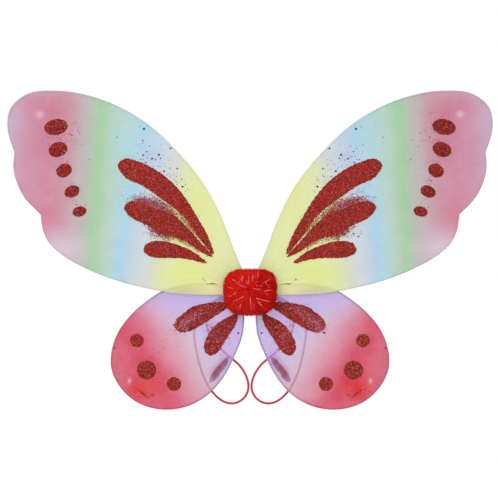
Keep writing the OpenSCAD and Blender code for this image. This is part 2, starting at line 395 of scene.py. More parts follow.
def tubes(paths: Array, radius: Array | float, sides: int = 12, ref: Array = (0, 1, 0),
          profile: tuple[float, float] = (1.0, 1.0), turn: Array | float = 0.0,
          closed: bool = False) -> Shape:
    """Carries an oval profile along one or many paths.

    Ring point = path point + radius * (w * stretch * cos(a) * side + h * sin(a) * lift).
    lift is ref without its part along the path, side is square to both, and stretch keeps
    the width at a bend, where a ring halves the angle.

    Args:
        paths: (k, 3) or (n, k, 3) points.
        radius: one value, or one for each point.
        sides: points in a ring.
        ref: direction that h stands along, one or one for each point.
        profile: w and h.
        turn: angle that the profile is turned by.
        closed: whether each path joins up with itself.

    Returns:
        Closed tubes. Their uv is turns around, and length over the first radius.
    """
    p = np.asarray(paths, float)
    p = p[None] if p.ndim == 2 else p
    n, k, _ = p.shape
    size = np.broadcast_to(np.asarray(radius, float), (n, k))
    chord = unit(np.roll(p, -1, 1) - p)
    back = np.roll(chord, 1, 1)
    if not closed:
        chord[:, -1], back[:, 0] = back[:, -1], chord[:, 0]
    along = unit(chord + back)
    stretch = 1 / np.maximum(0.5, (along * chord).sum(-1))
    lift = np.broadcast_to(np.asarray(ref, float), p.shape)
    lift = unit(lift - (lift * along).sum(-1, keepdims=True) * along)
    across = np.cross(along, lift)
    angle = np.arange(sides) * TURN / sides + np.broadcast_to(turn, (n, k))[..., None]
    rings = p[:, :, None] + size[:, :, None, None] * (
        (profile[0] * stretch[:, :, None] * np.cos(angle))[..., None] * across[:, :, None]
        + (profile[1] * np.sin(angle))[..., None] * lift[:, :, None])
    run = np.linalg.norm(np.diff(p, axis=1), axis=2).cumsum(1)
    run = np.concatenate([np.zeros((n, 1)), run], 1) / max(float(size.flat[0]), 1e-9)
    quads = grid_faces(k, sides, wrap=True)
    start = (np.arange(n) * k * sides)[:, None, None]
    around = np.arange(sides) / sides
    turns = np.broadcast_to(around, (k - 1, sides)).reshape(-1)
    uv_u = np.stack([turns, turns + 1 / sides, turns + 1 / sides, turns], -1)
    low = run[:, :-1, None].repeat(sides, 2).reshape(n, -1)
    high = run[:, 1:, None].repeat(sides, 2).reshape(n, -1)
    uv = np.stack([np.broadcast_to(uv_u, (n, *uv_u.shape)),
                   np.stack([low, low, high, high], -1)], -1).reshape(-1, 4, 2)
    faces, coordinates = [(quads[None] + start).reshape(-1, 4)], [uv]
    if closed:
        ends = np.arange(sides)
        seam = np.stack([(k - 1) * sides + ends, (k - 1) * sides + (ends + 1) % sides,
                         (ends + 1) % sides, ends], -1)
        faces.append((seam[None] + start).reshape(-1, 4))
        coordinates.append(np.tile(uv[: sides], (n, 1, 1)))
    else:
        cap = np.stack([np.arange(sides)[::-1], (k - 1) * sides + np.arange(sides)])
        faces.append((cap[None] + start).reshape(-1, sides))
        coordinates.append(np.zeros((2 * n, sides, 2)))
    return Shape(rings.reshape(-1, 3), faces, coordinates).outward()


def build(name: str, shape: Shape, finish: bpy.types.Material, body: str,
          stands_for: Sequence[str] = (), weld: float = 0.0,
          sharp: float = 40.0) -> bpy.types.Object:
    """Makes the piece from its shape, dresses it and lets it ride on its body.

    Args:
        name: the piece's name.
        shape: its points and faces.
        finish: its material.
        body: the CAD body it moves with.
        stands_for: CAD parts that it replaces.
        weld: distance within which points are merged.
        sharp: edges that bend by more degrees than this stay sharp.

    Returns:
        The finished piece.
    """
    mesh = bpy.data.meshes.new(name)
    widths = np.concatenate([np.full(len(f), f.shape[1]) for f in shape.faces])
    corners = np.concatenate([f.reshape(-1) for f in shape.faces]).astype(np.int32)
    mesh.vertices.add(len(shape.points))
    mesh.vertices.foreach_set("co", shape.points.astype(np.float32).reshape(-1))
    mesh.loops.add(len(corners))
    mesh.loops.foreach_set("vertex_index", corners)
    mesh.polygons.add(len(widths))
    mesh.polygons.foreach_set("loop_start",
                              (np.cumsum(widths) - widths).astype(np.int32))
    mesh.update(calc_edges=True)
    if shape.uv:
        layer = mesh.uv_layers.new(name="Run")
        layer.data.foreach_set(
            "uv", np.concatenate([u.reshape(-1, 2) for u in shape.uv]).reshape(-1))
    for key, values in shape.marks.items():
        mesh.attributes.new(key, "FLOAT", "POINT").data.foreach_set(
            "value", values.astype(np.float32))
    if weld:
        work = bmesh.new()
        work.from_mesh(mesh)
        bmesh.ops.remove_doubles(work, verts=work.verts, dist=weld)
        bmesh.ops.dissolve_degenerate(work, dist=weld * 0.1, edges=work.edges)
        bmesh.ops.recalc_face_normals(work, faces=work.faces)
        work.to_mesh(mesh)
        work.free()
    mesh.validate()
    mesh.shade_smooth()
    mesh.set_sharp_from_angle(angle=math.radians(sharp))
    piece = bpy.data.objects.new(name, mesh)
    bpy.context.scene.collection.objects.link(piece)
    mesh.materials.append(finish)
    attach(piece, body)
    if stands_for:
        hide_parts(*stands_for)
    mesh.calc_loop_triangles()
    LOG.info("%s: %d triangles on %s", name, len(mesh.loop_triangles), body)
    return piece


# ------------------------------------------------------------------ shading


def linear(colour: str) -> tuple[float, float, float]:
    """Linear values of a colour written as six hexadecimal digits."""
    values = [int(colour[i: i + 2], 16) / 255 for i in (0, 2, 4)]
    return tuple(v / 12.92 if v <= 0.04045 else ((v + 0.055) / 1.055) ** 2.4 for v in values)


class Graph:
    """Adds nodes to a material's or a group's tree and joins them."""

    def __init__(self, tree: bpy.types.NodeTree) -> None:
        """Works on that tree."""
        self.tree = tree

    def add(self, kind: str, inputs: dict | None = None, **settings: object) -> bpy.types.Node:
        """Adds a node.

        Args:
            kind: the node's type.
            inputs: a socket or a value for each input, by its name or number.
            settings: the node's own properties.

        Returns:
            The node.
        """
        node = self.tree.nodes.new(kind)
        for key, value in settings.items():
            setattr(node, key, value)
        for key, value in (inputs or {}).items():
            if isinstance(value, Socket):
                self.tree.links.new(value, node.inputs[key])
            else:
                node.inputs[key].default_value = value
        return node

    def math(self, operation: str, *values: Socket | float, clamp: bool = False) -> Socket:
        """Result of a math node on the given sockets and numbers."""
        return self.add("ShaderNodeMath", dict(enumerate(values)), operation=operation,
                        use_clamp=clamp).outputs[0]

    def blend(self, factor: Socket | float, a: Socket | Sequence[float],
              b: Socket | Sequence[float], mode: str = "MIX") -> Socket:
        """Colour that goes from a to b as factor goes from 0 to 1."""
        a, b = (c if isinstance(c, Socket) else (*c[:3], 1.0) for c in (a, b))
        return self.add("ShaderNodeMix", {0: factor, 6: a, 7: b}, data_type="RGBA",
                        blend_type=mode).outputs[2]

    def remap(self, value: Socket, low: float, high: float, to_low: float = 0.0,
              to_high: float = 1.0) -> Socket:
        """Carries the range low to high over to another, eased at both ends."""
        return self.add("ShaderNodeMapRange", {0: value, 1: low, 2: high, 3: to_low,
                                               4: to_high},
                        interpolation_type="SMOOTHSTEP").outputs[0]

    def ramp(self, value: Socket, stops: Sequence[tuple], steps: bool = False) -> Socket:
        """Colour ramp through (place, colour) or (place, colour, alpha), flat if asked.

        Args:
            value: the place along the ramp.
            stops: places with their colours.
            steps: whether a colour holds until the next stop.

        Returns:
            The colour.
        """
        node = self.add("ShaderNodeValToRGB", {0: value})
        node.color_ramp.interpolation = "CONSTANT" if steps else "LINEAR"
        stops = sorted(stops)
        while len(node.color_ramp.elements) < len(stops):
            node.color_ramp.elements.new(1.0)
        for element, (place, colour, *alpha) in zip(node.color_ramp.elements, stops):
            element.position, element.color = place, (*colour, *(alpha or (1.0,)))
        return node.outputs[0]

    def place(self) -> Socket:
        """Object coordinates."""
        return self.add("ShaderNodeTexCoord").outputs["Object"]

    def run(self) -> Socket:
        """The piece's own coordinates, turns around and length along."""
        return self.add("ShaderNodeUVMap", uv_map="Run").outputs[0]

    def mark(self, name: str) -> Socket:
        """Value of the named attribute."""
        return self.add("ShaderNodeAttribute", attribute_name=name).outputs["Fac"]

    def parts(self, vector: Socket) -> tuple[Socket, Socket, Socket]:
        """X, Y and Z of a vector."""
        return tuple(self.add("ShaderNodeSeparateXYZ", {0: vector}).outputs)

    def noise(self, vector: Socket, scale: float, detail: float = 3.0,
              rough: float = 0.55) -> Socket:
        """Value of a noise texture."""
        return self.add("ShaderNodeTexNoise", {"Vector": vector, "Scale": scale,
                                               "Detail": detail, "Roughness": rough}).outputs[0]

    def bump(self, height: Socket, distance: float, strength: float = 1.0,
             normal: Socket | None = None) -> Socket:
        """Normal that a height in units of distance gives."""
        inputs = {"Height": height, "Distance": distance, "Strength": strength}
        if normal is not None:
            inputs["Normal"] = normal
        return self.add("ShaderNodeBump", inputs).outputs[0]

    def use(self, group: bpy.types.NodeTree, **inputs: Socket | float) -> bpy.types.Node:
        """Places a group, with its inputs by name (an underscore stands for a space)."""
        return self.add("ShaderNodeGroup", {k.replace("_", " "): v for k, v in inputs.items()},
                        node_tree=group)


def new_group(name: str, inputs: dict[str, float | None],
              outputs: dict[str, str]) -> tuple[Graph, dict[str, Socket], dict[str, Socket]]:
    """Starts a shader group.

    Args:
        name: the group's name.
        inputs: default value of each input, or None for a vector.
        outputs: socket type of each output.

    Returns:
        Its graph, its input sockets and its output sockets by name.
    """
    tree = bpy.data.node_groups.new(name, "ShaderNodeTree")
    for key, value in inputs.items():
        kind = "NodeSocketVector" if value is None else "NodeSocketFloat"
        socket = tree.interface.new_socket(name=key, in_out="INPUT", socket_type=kind)
        if value is not None:
            socket.default_value = value
    for key, kind in outputs.items():
        tree.interface.new_socket(name=key, in_out="OUTPUT", socket_type=kind)
    start, end = tree.nodes.new("NodeGroupInput"), tree.nodes.new("NodeGroupOutput")
    return (Graph(tree), {k: start.outputs[k] for k in inputs},
            {k: end.inputs[k] for k in outputs})


class Effects:
    """Shader groups that several finishes share, each built once."""

    def __init__(self) -> None:
        """Builds the groups."""
        self.weave = self._weave()
        self.mottle = self._mottle()
        self.plies = self._plies()
        self.spot = self._spot()
        self.fibres = self._fibres()

    @staticmethod
    def _weave() -> bpy.types.NodeTree:
        """Plain weave: threads over and under each other in a chequer of that pitch.

        Height is the profile |sin| of the thread on top, and Gap is near 1 in the holes.

        Returns:
            The group.
        """
        g, given, out = new_group("Plain weave", {"Across": 0.0, "Along": 0.0,
                                                  "Pitch": 0.0005},
                                  {"Height": "NodeSocketFloat", "Gap": "NodeSocketFloat"})
        u = g.math("DIVIDE", given["Across"], given["Pitch"])
        v = g.math("DIVIDE", given["Along"], given["Pitch"])
        warp = g.math("ABSOLUTE", g.math("SINE", g.math("MULTIPLY", u, math.pi)))
        weft = g.math("ABSOLUTE", g.math("SINE", g.math("MULTIPLY", v, math.pi)))
        odd = g.math("MODULO", g.math("ADD", g.math("FLOOR", u), g.math("FLOOR", v)), 2.0)
        odd = g.math("ABSOLUTE", odd)
        first = g.math("MULTIPLY", warp, g.math("MULTIPLY_ADD", weft, 0.4, 0.6))
        second = g.math("MULTIPLY", weft, g.math("MULTIPLY_ADD", warp, 0.4, 0.6))
        step = g.math("SUBTRACT", second, first)
        height = g.math("MULTIPLY_ADD", step, odd, first)
        gap = g.math("MULTIPLY", g.math("SUBTRACT", 1.0, warp), g.math("SUBTRACT", 1.0, weft))
        g.tree.links.new(height, out["Height"])
        g.tree.links.new(gap, out["Gap"])
        return g.tree

    @staticmethod
    def _mottle() -> bpy.types.NodeTree:
        """Soft uneven tone: two noises of different size, mixed, as a value around 0.5.

        Returns:
            The group.
        """
        g, given, out = new_group("Mottle", {"Vector": None, "Scale": 100.0, "Fine": 5.0},
                                  {"Tone": "NodeSocketFloat"})
        broad = g.add("ShaderNodeTexNoise", {"Vector": given["Vector"],
                                             "Scale": given["Scale"], "Detail": 2.0}).outputs[0]
        small = g.add("ShaderNodeTexNoise",
                      {"Vector": given["Vector"], "Detail": 3.0,
                       "Scale": g.math("MULTIPLY", given["Scale"], given["Fine"])}).outputs[0]
        tone = g.math("ADD", g.math("MULTIPLY", broad, 0.6), g.math("MULTIPLY", small, 0.4))
        g.tree.links.new(tone, out["Tone"])
        return g.tree

    @staticmethod
    def _plies() -> bpy.types.NodeTree:
        """Twisted or braided plies on a round thread, from its turns and its length.

        Height is |sin| of turns times Plies plus length times Slant. Braid crosses it with
        the same pattern of the other hand.

        Returns:
            The group.
        """
        g, given, out = new_group("Plies", {"Vector": None, "Plies": 2.0, "Slant": 0.3,
                                            "Braid": 0.0},
                                  {"Height": "NodeSocketFloat", "Over": "NodeSocketFloat"})
        turns, run, _ = g.parts(given["Vector"])
        spread = g.math("MULTIPLY", turns, given["Plies"])
        slant = g.math("MULTIPLY", run, given["Slant"])
        right = g.math("ABSOLUTE", g.math("SINE", g.math(
            "MULTIPLY", g.math("ADD", spread, slant), math.pi)))
        left = g.math("ABSOLUTE", g.math("SINE", g.math(
            "MULTIPLY", g.math("SUBTRACT", spread, slant), math.pi)))
        top = g.math("MAXIMUM", right, g.math("MULTIPLY", left, given["Braid"]))
        over = g.math("MULTIPLY", g.math("GREATER_THAN", right, left), given["Braid"])
        g.tree.links.new(top, out["Height"])
        g.tree.links.new(over, out["Over"])
        return g.tree

    @staticmethod
    def _spot() -> bpy.types.NodeTree:
        """Soft oval spot, the same on both wings, as 1 in its middle and 0 outside.

        Returns:
            The group.
        """
        g, given, out = new_group("Soft spot", {"Vector": None, "X": 0.1, "Z": 0.0,
                                                "Width": 0.02, "Height": 0.02},
                                  {"Mask": "NodeSocketFloat"})
        x, _, z = g.parts(given["Vector"])
        away = g.math("DIVIDE", g.math("SUBTRACT", g.math("ABSOLUTE", x), given["X"]),
                      given["Width"])
        rise = g.math("DIVIDE", g.math("SUBTRACT", z, given["Z"]), given["Height"])
        far = g.math("ADD", g.math("MULTIPLY", away, away), g.math("MULTIPLY", rise, rise))
        mask = g.math("EXPONENT", g.math("MULTIPLY", far, -1.0))
        g.tree.links.new(mask, out["Mask"])
        return g.tree

    @staticmethod
    def _fibres() -> bpy.types.NodeTree:
        """Matted fibres: fine noise bent by a coarser one, as a height and a tone.

        Returns:
            The group.
        """
        g, given, out = new_group("Matted fibres", {"Vector": None, "Scale": 900.0},
                                  {"Height": "NodeSocketFloat", "Tone": "NodeSocketFloat"})
        bend = g.add("ShaderNodeTexNoise", {"Vector": given["Vector"], "Detail": 2.0,
                                            "Scale": g.math("MULTIPLY", given["Scale"], 0.3)})
        moved = g.add("ShaderNodeVectorMath", {0: bend.outputs["Color"],
                                               1: (0.004, 0.004, 0.004)},
                      operation="MULTIPLY").outputs[0]
        place = g.add("ShaderNodeVectorMath", {0: given["Vector"], 1: moved},
                      operation="ADD").outputs[0]
        hair = g.add("ShaderNodeTexNoise", {"Vector": place, "Scale": given["Scale"],
                                            "Detail": 4.0, "Roughness": 0.7}).outputs[0]
        ridge = g.math("SUBTRACT", 1.0, g.math("MULTIPLY", g.math(
            "ABSOLUTE", g.math("SUBTRACT", hair, 0.5)), 5.0), clamp=True)
        g.tree.links.new(ridge, out["Height"])
        g.tree.links.new(hair, out["Tone"])
        return g.tree


@dataclass(frozen=True)
class Finish(ABC):
    """A surface finish: a Principled shader whose pattern the finish's own method makes.

    Args:
        name: the material's name.
    """

    name: str
    shine: ClassVar[dict[str, float]] = {}   # values of the shader's own sockets

    @abstractmethod
    def surface(self, g: Graph, effects: Effects) -> dict[str, Socket]:
        """Adds the pattern's nodes.

        Args:
            g: the material's graph.
            effects: the shared groups.

        Returns:
            The socket that feeds each input of the shader.
        """

    def material(self, effects: Effects) -> bpy.types.Material:
        """Builds the material.

        Args:
            effects: the shared groups.

        Returns:
            The finished material.
        """
        material = bpy.data.materials.new(self.name)
        material.use_nodes = True
        shader = material.node_tree.nodes["Principled BSDF"]
        for key, value in self.shine.items():
            shader.inputs[key].default_value = value
        for key, socket in self.surface(Graph(material.node_tree), effects).items():
            material.node_tree.links.new(socket, shader.inputs[key])
        return material


@dataclass(frozen=True)
class DyeAndHighlightSpot:
    """A soft oval area of another dye on both wings of a pair; a few of them are painted
    highlights and one is painted light. Cover is its opacity.
    """

    x: float
    z: float
    width: float
    height: float
    colour: str
    strength: float
    cover: float = 0.57


@dataclass(frozen=True)
class SheerDye(Finish):
    """Sheer nylon with airbrushed bands of dye.

    The band coordinate is reach = a * |x| + b * z + k * (z - level), where k goes from
    lean_near to lean_far as |x| goes from near to far. All lengths are in metres.

    Args:
        weights: a and b.
        level: height at which the leaning bands cross their stated places.
        lean: lean_near and lean_far.
        lean_span: near and far.
        bands: (reach, colour) as the two layers look together on white.
        spots: areas of another dye, with a few painted highlights and a spot of painted light.
        cover: (reach, opacity of one layer).
        pitch: spacing of the threads.
        gloss: share of white light that the cloth reflects as it is.
        drift: how far the bands wander.
    """

    weights: tuple[float, float]
    level: float
    lean: tuple[float, float]
    lean_span: tuple[float, float]
    bands: tuple[tuple[float, str], ...]
    spots: tuple[DyeAndHighlightSpot, ...]
    cover: tuple[tuple[float, float], ...]
    pitch: float = 0.00045
    gloss: float = 0.03
    drift: float = 0.008
    shine: ClassVar[dict[str, float]] = {
        "Roughness": 0.42, "IOR": 1.5, "Sheen Weight": 0.15, "Sheen Roughness": 0.35,
        "Specular IOR Level": 0.45}

    def own(self, colour: str, opacity: float) -> tuple[float, float, float]:
        """The cloth's own colour where two of its layers on white look like that colour."""
        through = (1 - opacity) ** 2
        return tuple(min(0.97, max(0.008, (c - through - self.gloss) / (1 - through)))
                     for c in linear(colour))

    def reach(self, g: Graph, effects: Effects, place: Socket) -> Socket:
        """The band coordinate, which wanders a little.

        Args:
            g: the material's graph.
            effects: the shared groups.
            place: object coordinates.

        Returns:
            Its socket, in metres.
        """
        x, _, z = g.parts(place)
        away = g.math("ABSOLUTE", x)
        lean = g.remap(away, *self.lean_span, *self.lean)
        reach = g.math("ADD", g.math("MULTIPLY", away, self.weights[0]),
                       g.math("MULTIPLY", z, self.weights[1]))
        reach = g.math("ADD", reach, g.math("MULTIPLY", lean,
                                            g.math("SUBTRACT", z, self.level)))
        drift = g.use(effects.mottle, Vector=place, Scale=26.0, Fine=5.0).outputs["Tone"]
        return g.math("ADD", reach,
                      g.math("MULTIPLY", g.math("SUBTRACT", drift, 0.5), self.drift))

    def surface(self, g: Graph, effects: Effects) -> dict[str, Socket]:
        """Bands and spots of dye with a few painted highlights and painted light, the weave with
        its holes, and a satin gloss.
        """
        place = g.place()
        top = max(stop for stop, _ in self.bands)
        opacity = [float(np.interp(stop, *zip(*self.cover))) for stop, _ in self.bands]
        ramp = g.ramp(g.math("DIVIDE", self.reach(g, effects, place), top), [
            (stop / top, self.own(c, o), o) for (stop, c), o in zip(self.bands, opacity)])
        colour, alpha = ramp.node.outputs
        for spot in self.spots:
            mask = g.math("MULTIPLY", g.use(
                effects.spot, Vector=place, X=spot.x, Z=spot.z, Width=spot.width,
                Height=spot.height).outputs["Mask"], spot.strength)
            colour = g.blend(mask, colour, self.own(spot.colour, spot.cover))
            alpha = g.math("MULTIPLY_ADD", mask, g.math("SUBTRACT", spot.cover, alpha), alpha)
        cloud = g.remap(g.use(effects.mottle, Vector=place, Scale=60.0, Fine=9.0)
                        .outputs["Tone"], 0.38, 0.62, 0.0, 0.05)
        x, _, z = g.parts(place)
        weave = g.use(effects.weave, Across=x, Along=z, Pitch=self.pitch).outputs
        return {
            "Base Color": g.blend(cloud, colour, (0.97, 0.96, 0.97)),
            "Alpha": g.math("ADD", alpha, g.math("MULTIPLY_ADD", weave["Gap"], -0.3, 0.04)),
            "Roughness": g.remap(g.noise(place, 42.0, 2.0), 0.35, 0.7, 0.34, 0.5),
            "Normal": g.bump(weave["Height"], 0.00004, 0.5)}


@dataclass(frozen=True)
class CoatedWire(Finish):
    """Steel wire with a thin grey coating, scuffed here and there."""

    name: str = "Coated wire"
    colour: str = "f0f0f4"
    shine: ClassVar[dict[str, float]] = {"Metallic": 0.15, "Roughness": 0.35, "IOR": 1.5}

    def surface(self, g: Graph, effects: Effects) -> dict[str, Socket]:
        """Scuffs that are darker and rougher than the coating."""
        tone = g.use(effects.mottle, Vector=g.place(), Scale=160.0, Fine=8.0).outputs["Tone"]
        base = linear(self.colour)
        return {"Base Color": g.blend(g.remap(tone, 0.52, 0.7), base, [c * 0.6 for c in base]),
                "Roughness": g.remap(tone, 0.3, 0.7, 0.28, 0.5),
                "Normal": g.bump(tone, 0.00006, 0.4)}


@dataclass(frozen=True)
class GlitterGlue(Finish):
    """Dark red glue with glitter in it.

    Each flake's colour comes from its own mark: steps from near black over dark and bright
    red to gold and green, then mauve and ink. The glue between the flakes is dark.
    """

    name: str = "Glitter"
    steps: tuple[tuple[float, str], ...] = (
        (0.0, "541013"), (0.12, "8c1d1c"), (0.32, "ad2822"), (0.55, "c03026"),
        (0.74, "d43c2c"), (0.86, "e25a3c"), (0.915, "b08434"), (0.955, "8a7a3a"),
        (0.97, "b9788c"), (0.986, "2c2438"))
    shine: ClassVar[dict[str, float]] = {"Metallic": 0.5, "Roughness": 0.3, "IOR": 1.5,
                                         "Specular IOR Level": 0.3}

    def surface(self, g: Graph, effects: Effects) -> dict[str, Socket]:
        """The flakes' own colours, darkened by a fine grain."""
        colour = g.ramp(g.mark("fleck"), [(place, linear(c)) for place, c in self.steps],
                        steps=True)
        grain = g.use(effects.mottle, Vector=g.place(), Scale=900.0, Fine=2.5).outputs["Tone"]
        return {"Base Color": g.blend(g.remap(grain, 0.4, 0.62, 0.0, 0.22), colour,
                                      (0.06, 0.004, 0.005)),
                "Roughness": g.remap(grain, 0.35, 0.65, 0.2, 0.42),
                "Normal": g.bump(grain, 0.00008, 0.35)}


@dataclass(frozen=True)
class PlushFibre(Finish):
    """Red plush fibre, each fibre in its own tone, with painted shade: darker at its root, on
    the right-hand half and near the rim.
    """

    name: str = "Plush fibre"
    deep: str = "a8080b"
    middle: str = "ea1411"
    bright: str = "ff3a28"
    shade: str = "8a0608"
    shine: ClassVar[dict[str, float]] = {"Roughness": 0.6, "IOR": 1.45,
                                         "Specular IOR Level": 0.08}

    def surface(self, g: Graph, effects: Effects) -> dict[str, Socket]:
        """Tones by each fibre's mark, which carries painted shade, with a soft uneven darker
        tone.
        """
        colour = g.ramp(g.mark("tint"), [(0.0, linear(self.deep)), (0.5, linear(self.middle)),
                                         (1.0, linear(self.bright))])
        tone = g.use(effects.mottle, Vector=g.place(), Scale=500.0, Fine=4.0).outputs["Tone"]
        return {"Base Color": g.blend(g.remap(tone, 0.42, 0.65, 0.0, 0.2), colour,
                                      linear(self.shade)),
                "Roughness": g.remap(tone, 0.3, 0.7, 0.5, 0.7)}


@dataclass(frozen=True)
class TinselFoil(Finish):
    """Narrow metallised foil, silver pink, with small creases."""

    name: str = "Tinsel foil"
    colour: str = "f0a0a2"
    crease: str = "dc5058"
    shine: ClassVar[dict[str, float]] = {"Metallic": 0.5, "Roughness": 0.25, "IOR": 1.5}

    def surface(self, g: Graph, effects: Effects) -> dict[str, Socket]:
        """Creases that are redder and rougher than the foil."""
        tone = g.use(effects.mottle, Vector=g.place(), Scale=700.0, Fine=3.0).outputs["Tone"]
        return {"Base Color": g.blend(g.remap(tone, 0.42, 0.62), linear(self.colour),
                                      linear(self.crease)),
                "Roughness": g.remap(tone, 0.35, 0.65, 0.14, 0.36),
                "Normal": g.bump(tone, 0.0002, 0.5)}


@dataclass(frozen=True)
class PliedThread(Finish):
    """Thread or elastic of twisted or braided plies.

    Args:
        light: colour of the raised plies.
        dark: colour of the grooves.
        plies: plies around the thread.
        slant: turn of the plies for each radius of length.
        braid: 1 where plies of both hands cross.
        relief: height of a ply.
        rough: roughness.
    """

    light: str
    dark: str
    plies: float
    slant: float
    braid: float
    relief: float
    rough: float
    shine: ClassVar[dict[str, float]] = {"IOR": 1.5, "Sheen Weight": 0.15,
                                         "Sheen Roughness": 0.4}

    def surface(self, g: Graph, effects: Effects) -> dict[str, Socket]:
        """Light plies with painted shade in the grooves and on the plies that pass under, on the
        thread's own coordinates.
        """
        plies = g.use(effects.plies, Vector=g.run(), Plies=self.plies, Slant=self.slant,
                      Braid=self.braid).outputs
        tone = g.use(effects.mottle, Vector=g.place(), Scale=400.0, Fine=4.0).outputs["Tone"]
        dark = linear(self.dark)
        # painted shade: colour goes dark in the grooves by ply height, and darker on the plies
        # that pass under the others
        colour = g.blend(g.remap(plies["Height"], 0.1, 0.85), dark, linear(self.light))
        colour = g.blend(g.math("MULTIPLY", plies["Over"], 0.14), colour, dark)
        return {"Base Color": g.blend(g.remap(tone, 0.35, 0.7, 0.0, 0.2), colour, dark),
                "Roughness": g.remap(tone, 0.3, 0.7, self.rough - 0.1, self.rough + 0.1),
                "Normal": g.bump(plies["Height"], self.relief, 0.8)}


@dataclass(frozen=True)
class MattedCloth(Finish):
    """Felt, wadding or matted thread: pressed fibres with a soft uneven tone.

    Args:
        light: colour of the raised fibres.
        dark: colour of the hollows, painted as shade, and of the darker uneven tone.
        scale: fibres in a metre.
        relief: height of a fibre.
    """

    light: str
    dark: str
    scale: float
    relief: float
    shine: ClassVar[dict[str, float]] = {
        "Roughness": 0.92, "IOR": 1.45, "Sheen Weight": 0.3, "Sheen Roughness": 0.5,
        "Specular IOR Level": 0.2}

    def surface(self, g: Graph, effects: Effects) -> dict[str, Socket]:
        """Fibres over a broad tone, in colour and in relief; the colour is partly painted shade
        in the hollows between fibres.
        """
        place = g.place()
        fibre = g.use(effects.fibres, Vector=place, Scale=self.scale).outputs
        tone = g.use(effects.mottle, Vector=place, Scale=self.scale * 0.2,
                     Fine=4.0).outputs["Tone"]
        # partly painted shade: half of the colour follows fibre height, so the hollows are
        # darker; the other half is uneven tone
        mixed = g.math("ADD", g.math("MULTIPLY", fibre["Height"], 0.5),
                       g.math("MULTIPLY", tone, 0.5))
        return {"Base Color": g.blend(g.remap(mixed, 0.2, 0.75), linear(self.dark),
                                      linear(self.light)),
                "Roughness": g.remap(fibre["Tone"], 0.3, 0.7, 0.82, 0.98),
                "Normal": g.bump(fibre["Height"], self.relief, 0.6,
                                 g.bump(tone, self.relief * 4, 0.5))}


@dataclass(frozen=True)
class CottonTape(Finish):
    """Woven cotton tape, with its weave on the tape's own coordinates."""

    name: str = "Cotton tape"
    light: str = "efebe6"
    dark: str = "b9b2ab"
    grime: str = "9a8f86"
    pitch: float = 0.0004
    shine: ClassVar[dict[str, float]] = {
        "Roughness": 0.85, "IOR": 1.45, "Sheen Weight": 0.2, "Sheen Roughness": 0.5,
        "Specular IOR Level": 0.25}

    def surface(self, g: Graph, effects: Effects) -> dict[str, Socket]:
        """Light threads with painted shade in the gaps between them, grimy here and there."""
        place = g.place()
        _, along, _ = g.parts(g.run())
        _, _, z = g.parts(place)
        weave = g.use(effects.weave, Across=z, Along=g.math("MULTIPLY", along, MM),
                      Pitch=self.pitch).outputs["Height"]
        tone = g.use(effects.mottle, Vector=place, Scale=200.0, Fine=5.0).outputs["Tone"]
        # painted shade: colour goes dark between the threads by weave height; the grime is real
        # dirt
        colour = g.blend(g.remap(weave, 0.1, 0.9), linear(self.dark), linear(self.light))
        return {"Base Color": g.blend(g.remap(tone, 0.4, 0.7, 0.0, 0.3), colour,
                                      linear(self.grime)),
                "Roughness": g.remap(tone, 0.3, 0.7, 0.75, 0.95),
                "Normal": g.bump(weave, 0.0001, 0.7)}


@dataclass(frozen=True)
class PaleFloor(Finish):
    """Plain pale matt floor, very slightly uneven."""

    name: str = "Pale floor"
    shine: ClassVar[dict[str, float]] = {"Roughness": 0.85}

    def surface(self, g: Graph, effects: Effects) -> dict[str, Socket]:
        """Two pale greys that run into each other."""
        tone = g.use(effects.mottle, Vector=g.place(), Scale=3.0, Fine=6.0).outputs["Tone"]
        return {"Base Color": g.blend(g.remap(tone, 0.3, 0.7), (0.8, 0.8, 0.8),
                                      (0.84, 0.84, 0.84))}


# ------------------------------------------------------------------ studio


